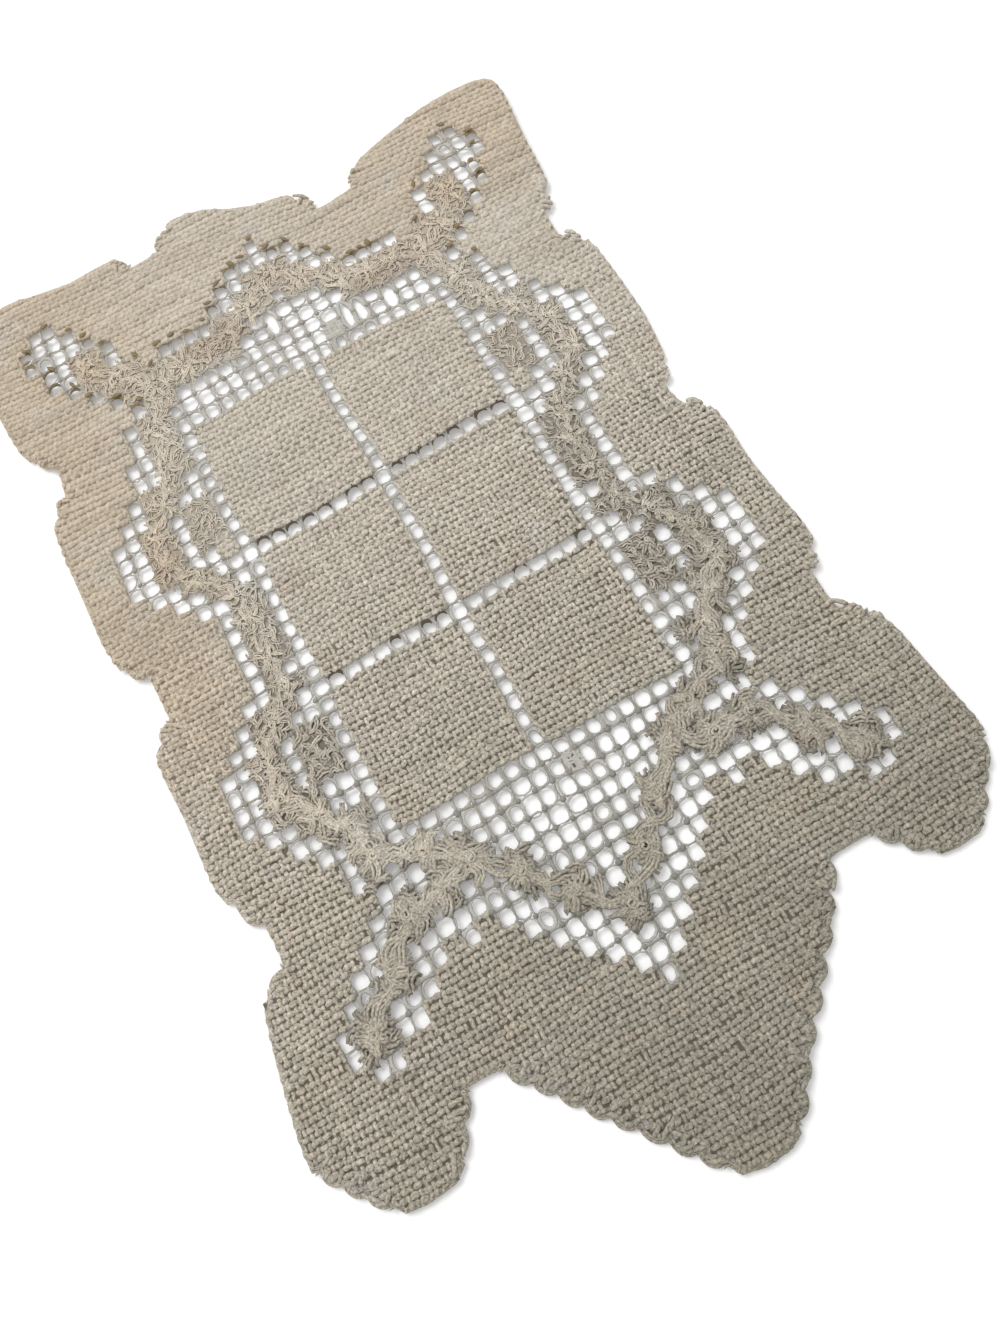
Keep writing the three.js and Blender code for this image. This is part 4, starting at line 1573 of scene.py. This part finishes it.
def backing_mesh(name):
    """The thin closed sheet in the cloth's middle, painted shade between threads and felt, and its flat
    area.
    """
    squares = backing_squares()
    columns, rows = squares.shape[0] + 1, squares.shape[1] + 1

    def corner(column, row, side):
        return (side * columns + column) * rows + row

    column, row = np.nonzero(squares)
    top = [corner(column + x, row + y, 1) for x, y in ((0, 0), (1, 0), (1, 1), (0, 1))]
    low = [corner(column + x, row + y, 0) for x, y in ((0, 0), (0, 1), (1, 1), (1, 0))]
    quads = np.concatenate([np.stack(top, 1), np.stack(low, 1), side_quads(squares, corner)])
    used, quads = np.unique(quads, return_inverse=True)
    quads = quads.reshape(-1, 4)
    side, place = np.divmod(used, columns * rows)
    column, row = np.divmod(place, rows)
    cells = np.minimum(column, columns - 2) // BACKING_SPLIT, np.minimum(row, rows - 2) // BACKING_SPLIT
    in_felt = chart().felt[cells]
    height = (side - 0.5) * settings().cloth.backing
    points = on_mat(Chart.COLUMN_START + column / BACKING_SPLIT, -ROWS + row / BACKING_SPLIT, height)
    made = bpy.data.meshes.new(name)
    made.from_pydata(points.tolist(), [], quads.tolist())
    made.attributes.new("felt", "FLOAT", "POINT").data.foreach_set("value", in_felt.astype(np.float32))
    made.update()
    return made, float(squares.sum()) * MESH_X * MESH_Y / BACKING_SPLIT**2


class Wire:
    """One output of a finish's nodes, with arithmetic that adds Math nodes."""

    def __init__(self, finish, socket):
        self.finish = finish
        self.socket = socket

    def maths(self, operation, *values, clamp=False):
        sockets = dict(enumerate(values))
        return self.finish.node("ShaderNodeMath", {"operation": operation, "use_clamp": clamp}, sockets)

    def __add__(self, other):
        return self.maths("ADD", self, other)

    def __radd__(self, other):
        return self.maths("ADD", other, self)

    def __sub__(self, other):
        return self.maths("SUBTRACT", self, other)

    def __rsub__(self, other):
        return self.maths("SUBTRACT", other, self)

    def __mul__(self, other):
        return self.maths("MULTIPLY", self, other)

    def __rmul__(self, other):
        return self.maths("MULTIPLY", other, self)

    def clamped(self):
        return self.maths("ADD", self, 0.0, clamp=True)

    def absolute(self):
        return self.maths("ABSOLUTE", self)

    def larger(self, other):
        return self.maths("MAXIMUM", self, other)

    def sine(self):
        return self.maths("SINE", self)

    def cosine(self):
        return self.maths("COSINE", self)

    def smooth_between(self, low, high):
        """0 below low and 1 above high, eased."""
        sockets = {"Value": self, "From Min": low, "From Max": high}
        return self.finish.node("ShaderNodeMapRange", {"interpolation_type": "SMOOTHSTEP"}, sockets)


class Finish:
    """A material under construction."""

    def __init__(self, name):
        self.material = bpy.data.materials.new(name)
        self.material.use_nodes = True
        self.tree = self.material.node_tree
        self.shader = next(node for node in self.tree.nodes if node.type == "BSDF_PRINCIPLED")

    def node(self, kind, set_to=None, sockets=None, out=0):
        """Any node: its settings are made first, then its sockets are fed. Gives one output."""
        made = self.tree.nodes.new(kind)
        for name, value in (set_to or {}).items():
            setattr(made, name, value)
        for key, value in (sockets or {}).items():
            self.feed(made.inputs[key], value)
        return Wire(self, made.outputs[out])

    def feed(self, socket, value):
        if isinstance(value, Wire):
            self.tree.links.new(value.socket, socket)
        else:
            socket.default_value = value

    def wear(self, **sockets):
        """Values or links for the shader's own sockets."""
        for name, value in sockets.items():
            self.feed(self.shader.inputs[name.replace("_", " ")], value)

    def place(self):
        return self.node("ShaderNodeTexCoord", out="Object")

    def across_along(self):
        """Places across the mat and along it, in metres."""
        sockets = {0: self.place()}
        return [self.node("ShaderNodeSeparateXYZ", None, sockets, out=axis) for axis in "XY"]

    def attribute(self, name):
        return self.node("ShaderNodeAttribute", {"attribute_name": name}, out="Fac")

    def noise(self, scale, detail=2.0, place=None):
        sockets = {"Vector": place or self.place(), "Scale": scale, "Detail": detail}
        return self.node("ShaderNodeTexNoise", None, sockets, out="Fac")

    def mix(self, share, first, second):
        """Colour that goes from first to second."""
        sockets = {0: share, 6: first, 7: second}
        return self.node("ShaderNodeMix", {"data_type": "RGBA"}, sockets, out=2)

    def brightened(self, colour, value):
        return self.node("ShaderNodeHueSaturation", None, {"Color": colour, "Value": value})

    def bump(self, height, strength):
        sockets = {"Height": height, "Strength": strength, "Distance": BUMP_DEPTH}
        return self.node("ShaderNodeBump", None, sockets)


def opaque(colour):
    return (*colour, 1.0)


# Browner patches: middle and half size in meshes. Then their strength, and where their edge starts and
# ends, as a share of their size squared.
STAINS = ((-4.8, 17.5, 2.3, 1.1), (6.2, 16.3, 2.8, 0.8))
STAIN_STRENGTH = 0.5
STAIN_EDGE = (0.5, 1.4)
# Places along the mat are so much further on for each metre to the left.
FAR_LEAN = 0.28
# Where along the mat, in metres, its cotton starts to turn from grey to warm and is warm, which is partly
# painted light, brighter towards the far end and the left; how far patches shift that, and the scale and
# detail of their noise.
GREY_TO_WARM = (-0.215, 0.132)
WARM_SHIFT = 0.12
WARM_NOISE = (22.0, 3.0)
# Where the left margin starts to be tan and is so, across the mat and along it, in metres, and how tan
# it is before that. Then the same for the far margin.
LEFT_TAN_ACROSS = (0.06, 0.1)
LEFT_TAN_ALONG = (-0.07, 0.03)
LEFT_TAN_LEAST = 0.1
FAR_TAN_ACROSS = (0.02, 0.09)
FAR_TAN_ALONG = (0.12, 0.17)
FAR_TAN_LEAST = 0.4
# Soft blotches: colour, strength, noise at which they start and are full, and its scale and detail. The
# bloom fades towards the near end.
BLOTCHES = (
    ("bloom", 0.3, (0.52, 0.72), (40.0, 2.0)),
    ("brown", 0.3, (0.52, 0.75), (48.0, 3.0)),
    ("olive", 0.22, (0.55, 0.8), (31.0, 2.0)),
)


def stained(x, y, net_x, net_y, half_x, half_y):
    """1 inside one stained patch of the mat, softly 0 outside it. The patch is given in meshes."""
    middle_x, middle_y, _ = on_mat(net_x, net_y).tolist()
    across = (x - middle_x) * (1.0 / (half_x * MESH_X))
    along = (y - middle_y) * (1.0 / (half_y * MESH_Y))
    return 1.0 - (across * across + along * along).smooth_between(*STAIN_EDGE)


def tan_share(x, y):
    """How tan the cotton is: in the left margin, more so past its middle, and towards the far corners."""
    left_along = LEFT_TAN_LEAST + (1 - LEFT_TAN_LEAST) * y.smooth_between(*LEFT_TAN_ALONG)
    left = (0.0 - x).smooth_between(*LEFT_TAN_ACROSS) * left_along
    far_across = FAR_TAN_LEAST + (1 - FAR_TAN_LEAST) * x.absolute().smooth_between(*FAR_TAN_ACROSS)
    far = y.smooth_between(*FAR_TAN_ALONG) * far_across
    return left.larger(far)


def aged_cotton(finish):
    """Cotton colour by place on the mat, with stains and painted light brightening the far end, before
    threads.
    """
    colours = settings().finish
    x, y = finish.across_along()
    towards_far = y - FAR_LEAN * x + WARM_SHIFT * finish.noise(*WARM_NOISE)
    towards_far = towards_far.smooth_between(*GREY_TO_WARM)
    colour = finish.mix(towards_far, opaque(colours.shaded_grey), opaque(colours.warm))
    colour = finish.mix(tan_share(x, y), colour, opaque(colours.tan))
    for stain in STAINS:
        colour = finish.mix(STAIN_STRENGTH * stained(x, y, *stain), colour, opaque(colours.brown))
    for tint, strength, reach, noise in BLOTCHES:
        share = finish.noise(*noise).smooth_between(*reach) * strength
        if tint == "bloom":
            share = share * towards_far
        colour = finish.mix(share, colour, opaque(getattr(colours, tint)))
    return colour


# Where along the mat, in metres, the cloth starts to be soft and full and is so, and where the yarn's
# brightness starts to turn into that of the far end and is so.
SOFT_PLACES = (-0.04, 0.16)
GAIN_PLACES = (-0.12, 0.06)
# Scale and detail of the noise of loose fibres, on yarn, on cord and on felt, and of small beads of
# thread.
YARN_FIBRES = (1200.0, 3.0)
CORD_FIBRES = (1300.0, 3.0)
FELT_FIBRES = (900.0, 3.0)
BEADS = (430.0, 2.0)
# Strands with a high tone are tinted, here and there: tones and noise between which that starts, the
# noise's scale and detail, and the strength.
TINT_TONES = (0.9, 2.2)
TINT_STRETCH = (0.45, 0.6)
TINT_NOISE = (70.0, 2.0)
TINT_STRENGTH = 0.4
# What tone, fibres and beads add to the brightness, and the twist's painted shade in its grooves; and how
# much less the fibres do in soft cloth.
TONE_GAIN = 0.05
PLY_GROOVE_SHADE = 0.08
FIBRE_GAIN = 2.0
FIBRE_FADE = 1.3
BEAD_GAIN = 0.6
CORD_FIBRE_GAIN = 0.8
# What twist and fibres add to the height of the bumps.
PLY_HEIGHT = 0.5
FIBRE_HEIGHT = 2.2
# Painted shadows turn from grey to olive between these tones, and are this bright before their fibres.
OLIVE_TONES = (-0.5, 0.5)
SHADOW_GAIN = 0.5
# How pale the backing's painted shade is against the cloth, what softness and felt add, and its brightness
# with fibres.
BACKING_PALE = 0.12
SOFT_PALER = 0.6
FELT_PALER = 0.08
BACKING_GAIN = 0.8
BACKING_FIBRE_GAIN = 0.4


def far_share(finish, start, stop):
    """0 to 1 from the near end to the far end, further on at the left."""
    x, y = finish.across_along()
    return (y - FAR_LEAN * x).smooth_between(start, stop)


def yarn_finish(name, near_gain, far_gain, dip_shade_share, dip_shade_fade):
    """Soft plied cotton: tinted strand by strand, painted shade where it dips and in its twist's grooves,
    loose fibres.
    """
    colours = settings().finish
    finish = Finish(name)
    tone = finish.attribute("tone")
    stretch = finish.noise(*TINT_NOISE).smooth_between(*TINT_STRETCH)
    tinted = tone.smooth_between(*TINT_TONES) * stretch * TINT_STRENGTH
    colour = finish.mix(tinted, aged_cotton(finish), opaque(colours.brown))
    # Painted shade where the thread dips under the cloth or lies low, less of it in soft cloth.
    dip_shade = (0.5 - 0.5 * finish.attribute("over")).clamped()
    soft = far_share(finish, *SOFT_PLACES)
    colour = finish.mix(dip_shade * dip_shade_share * (1.0 - dip_shade_fade * soft), colour, opaque(colours.painted_shade))
    fibres = finish.noise(*YARN_FIBRES)
    turn = FULL_TURN / PLY_LENGTH * finish.attribute("along")
    ply = turn.sine() * finish.attribute("round_cos") + turn.cosine() * finish.attribute("round_sin")
    gain = near_gain + (far_gain - near_gain) * far_share(finish, *GAIN_PLACES)
    grain = (FIBRE_GAIN - FIBRE_FADE * soft) * (fibres - 0.5) + BEAD_GAIN * (finish.noise(*BEADS) - 0.5)
    colour = finish.brightened(colour, gain + TONE_GAIN * tone + PLY_GROOVE_SHADE * ply + grain)
    bumps = finish.bump(PLY_HEIGHT * ply + FIBRE_HEIGHT * fibres, strength=0.7)
    finish.wear(
        Base_Color=colour, Roughness=0.93, Normal=bumps, Sheen_Weight=0.12, Specular_IOR_Level=0.2)
    return finish.material


def cord_finish(name, grey_share, near_gain, far_gain):
    """Bare net cord, greyer than the darning."""
    finish = Finish(name)
    colour = finish.mix(grey_share, aged_cotton(finish), opaque(settings().finish.cord))
    fibres = finish.noise(*CORD_FIBRES)
    gain = near_gain + (far_gain - near_gain) * far_share(finish, *SOFT_PLACES)
    gain = gain + TONE_GAIN * finish.attribute("tone") + CORD_FIBRE_GAIN * (fibres - 0.5)
    colour = finish.brightened(colour, gain)
    bumps = finish.bump(fibres, strength=0.5)
    finish.wear(
        Base_Color=colour, Roughness=0.94, Normal=bumps, Sheen_Weight=0.1, Specular_IOR_Level=0.2)
    return finish.material


def shadow_finish(name):
    """Painted shade deep in the work: dark grey at the rims of gaps, olive in the star band."""
    colours = settings().finish
    finish = Finish(name)
    fibres = finish.noise(*CORD_FIBRES)
    olive = finish.attribute("tone").smooth_between(*OLIVE_TONES)
    colour = finish.mix(olive, opaque(colours.painted_shade), opaque(colours.olive_shadow))
    colour = finish.brightened(colour, SHADOW_GAIN + fibres)
    bumps = finish.bump(fibres, strength=0.6)
    finish.wear(Base_Color=colour, Roughness=0.97, Normal=bumps, Specular_IOR_Level=0.1)
    return finish.material


def backing_finish(name):
    """Dark sheet of painted shade between the threads of the cloth, paler in soft cloth and in felt."""
    finish = Finish(name)
    fibres = finish.noise(*FELT_FIBRES)
    soft = far_share(finish, *SOFT_PLACES)
    pale = BACKING_PALE + SOFT_PALER * soft + FELT_PALER * finish.attribute("felt")
    colour = finish.mix(pale, opaque(settings().finish.painted_shade), aged_cotton(finish))
    colour = finish.brightened(colour, BACKING_GAIN + BACKING_FIBRE_GAIN * fibres)
    bumps = finish.bump(fibres, strength=0.6)
    finish.wear(Base_Color=colour, Roughness=0.97, Normal=bumps, Specular_IOR_Level=0.1)
    return finish.material


def floor_finish(name):
    """The plain pale floor, which glows a little."""
    stage = settings().stage
    finish = Finish(name)
    colour = opaque(stage.floor_colour)
    finish.wear(
        Base_Color=colour, Roughness=0.9, Emission_Color=colour, Emission_Strength=stage.floor_glow)
    return finish.material


# How each finish is made, and with what. Yarn: brightness at the near and the far end, how much painted
# shade it has where it dips, and how much of that is lost in soft cloth. Cord: how grey it is, and
# brightness at both ends.
FINISHES = {
    "cloth_yarn": (yarn_finish, 1.0, 0.99, 0.25, 0.9),
    "star_yarn": (yarn_finish, 1.05, 1.4, 0.62, 0.5),
    "net_cord": (cord_finish, 0.5, 0.88, 1.0),
    "net_ring": (cord_finish, 0.8, 1.28, 1.3),
    "net_knot": (cord_finish, 0.5, 0.7, 0.85),
    "net_painted_shadow": (shadow_finish,),
    "felt_and_shade_backing": (backing_finish,),
    "pale_floor": (floor_finish,),
}


@functools.cache
def finish_named(name):
    make, *values = FINISHES[name]
    return make(name, *values)


class LACE_OT_stage(bpy.types.Operator):
    """Make the camera, the soft light and the plain pale floor"""

    bl_idname = "lace_mat.stage"
    bl_label = "Stage"

    def execute(self, context):
        self.make_camera(context)
        self.make_light(context)
        self.make_floor(context)
        return {"FINISHED"}

    def make_camera(self, context):
        data = bpy.data.cameras.new("photo_camera")
        data.lens = CAMERA_LENS
        data.sensor_width = CAMERA_SENSOR
        data.clip_start = CAMERA_NEAREST
        camera = bpy.data.objects.new("photo_camera", data)
        columns = (CAMERA_RIGHT, tuple(-v for v in CAMERA_DOWN), tuple(-v for v in CAMERA_LOOK))
        camera.matrix_world = Matrix.Translation(CAMERA_PLACE) @ Matrix(columns).transposed().to_4x4()
        context.scene.collection.objects.link(camera)
        context.scene.camera = camera

    def make_light(self, context):
        stage = settings().stage
        world = bpy.data.worlds.new("soft_sky")
        world.use_nodes = True
        sky = world.node_tree.nodes["Background"].inputs
        sky["Color"].default_value = opaque((1.0, 1.0, 1.0))
        sky["Strength"].default_value = stage.sky
        context.scene.world = world
        data = bpy.data.lights.new("soft_key", "SUN")
        data.energy = stage.key_strength
        data.angle = stage.key_spread
        lamp = bpy.data.objects.new("soft_key", data)
        lamp.rotation_mode = "QUATERNION"
        lamp.rotation_quaternion = Vector(KEY_FROM).to_track_quat("Z", "Y")
        context.scene.collection.objects.link(lamp)
        context.scene.view_settings.view_transform = "Standard"

    def make_floor(self, context):
        half = settings().stage.floor_half
        corners = [(x * half, y * half, -FLOOR_DROP) for x, y in ((-1, -1), (1, -1), (1, 1), (-1, 1))]
        mesh = bpy.data.meshes.new("floor")
        mesh.from_pydata(corners, [], [(0, 1, 2, 3)])
        mesh.materials.append(finish_named("pale_floor"))
        floor = bpy.data.objects.new("floor", mesh)
        context.scene.collection.objects.link(floor)


class LACE_OT_cloth(bpy.types.Operator):
    """Darn the cloth: warp and weft of the panes and of the near and far margins"""

    bl_idname = "lace_mat.cloth"
    bl_label = "Darned cloth"

    def execute(self, context):
        cloth = settings().cloth
        rng = np.random.default_rng(SEED)
        for is_warp, width in ((True, cloth.warp_width), (False, cloth.weft_width)):
            kind = "warp" if is_warp else "weft"
            for part, strands in darned_strands(Darning(is_warp), rng).items():
                yarn_piece(
                    f"{part}_{kind}", strands, width, cloth.thread_height, CLOTH_SIDES, "cloth_yarn",
                    cloth.crimp)
        return {"FINISHED"}


class LACE_OT_net(bpy.types.Operator):
    """Knot the bare cords of the net in the open meshes"""

    bl_idname = "lace_mat.net"
    bl_label = "Knotted net"

    def execute(self, context):
        net = settings().net
        rng = np.random.default_rng(SEED + 1)
        for name, laid, width, height, finish in (
            ("net_cords", cord_strands, net.cord_width, net.cord_height, "net_cord"),
            ("net_rings", ring_strands, net.ring_width, net.ring_height, "net_ring"),
            ("net_mends", mend_strands, net.ring_width, net.ring_height, "net_ring"),
            # Painted shadows at the rims of gaps and along the far lace.
            ("net_painted_shadows", shadow_strands, net.shadow_width, net.ring_height, "net_painted_shadow"),
        ):
            yarn_piece(name, laid(rng), width, height, CORD_SIDES, finish)
        x, y = knot_places()
        points = bpy.data.meshes.new("net_knots")
        points.from_pydata(on_mat(x, y).tolist(), [], [])
        sizes = {
            "Size": net.knot_size,
            "Flatness": net.knot_flatness,
            "Seed": SEED,
            "Material": finish_named("net_knot"),
        }
        build_piece("net_knots", grown("net_knots", points, knot_tree(), sizes))
        return {"FINISHED"}


class LACE_OT_stars(bpy.types.Operator):
    """Wind the star knots and the strands that link them"""

    bl_idname = "lace_mat.stars"
    bl_label = "Star knots"

    def execute(self, context):
        stars = settings().stars
        rng = np.random.default_rng(SEED + 2)
        for name, laid, sides in (
            ("star_knots", star_strands, STAR_SIDES),
            ("star_tangle", tangle_strands, TANGLE_SIDES),
        ):
            yarn_piece(name, laid(rng), stars.strand_width, stars.strand_height, sides, "star_yarn")
        return {"FINISHED"}


class LACE_OT_edge(bpy.types.Operator):
    """Stitch over the steps of the edge"""

    bl_idname = "lace_mat.edge"
    bl_label = "Stepped edge"

    def execute(self, context):
        edge = settings().edge
        rng = np.random.default_rng(SEED + 3)
        for name, laid in (("edge_stitches", edge_strands), ("edge_rim", rim_strands)):
            yarn_piece(name, laid(rng), edge.stitch_width, edge.stitch_height, CLOTH_SIDES, "cloth_yarn")
        return {"FINISHED"}


class LACE_OT_backing(bpy.types.Operator):
    # A dark sheet of painted shade between the threads, and felt in the star band.
    bl_idname = "lace_mat.backing"
    bl_label = "Felted backing"

    def execute(self, context):
        mesh, area = backing_mesh("felt_and_shade_backing")
        mesh.materials.append(finish_named("felt_and_shade_backing"))
        sheet = build_piece("felt_and_shade_backing", mesh)
        return {"FINISHED"}


class LACE_PT_panel(bpy.types.Panel):
    """Lists the pieces of the mat and their sizes"""

    bl_idname = "LACE_PT_panel"
    bl_label = "Lace mat"
    bl_space_type = "VIEW_3D"
    bl_region_type = "UI"
    bl_category = "Lace mat"

    def draw(self, context):
        for operator in OPERATORS:
            self.layout.operator(operator.bl_idname)
        for name in LaceMatSettings.__annotations__:
            box = self.layout.box()
            box.label(text=name.title())
            group = getattr(context.scene.lace_mat, name)
            for size in group.__annotations__:
                box.prop(group, size)


GROUPS = (
    NetSettings, ClothSettings, StarSettings, EdgeSettings, FinishSettings, StageSettings, LaceMatSettings,
)
OPERATORS = (LACE_OT_stage, LACE_OT_net, LACE_OT_cloth, LACE_OT_stars, LACE_OT_edge, LACE_OT_backing)


def register():
    for kind in (*GROUPS, *OPERATORS, LACE_PT_panel):
        bpy.utils.register_class(kind)
    bpy.types.Scene.lace_mat = bpy.props.PointerProperty(type=LaceMatSettings)


def unregister():
    del bpy.types.Scene.lace_mat
    for kind in reversed((*GROUPS, *OPERATORS, LACE_PT_panel)):
        bpy.utils.unregister_class(kind)


def main():
    register()
    bpy.ops.lace_mat.stage()
    bpy.ops.lace_mat.net()
    bpy.ops.lace_mat.cloth()
    bpy.ops.lace_mat.stars()
    bpy.ops.lace_mat.edge()
    bpy.ops.lace_mat.backing()


if __name__ == "__main__":
    main()
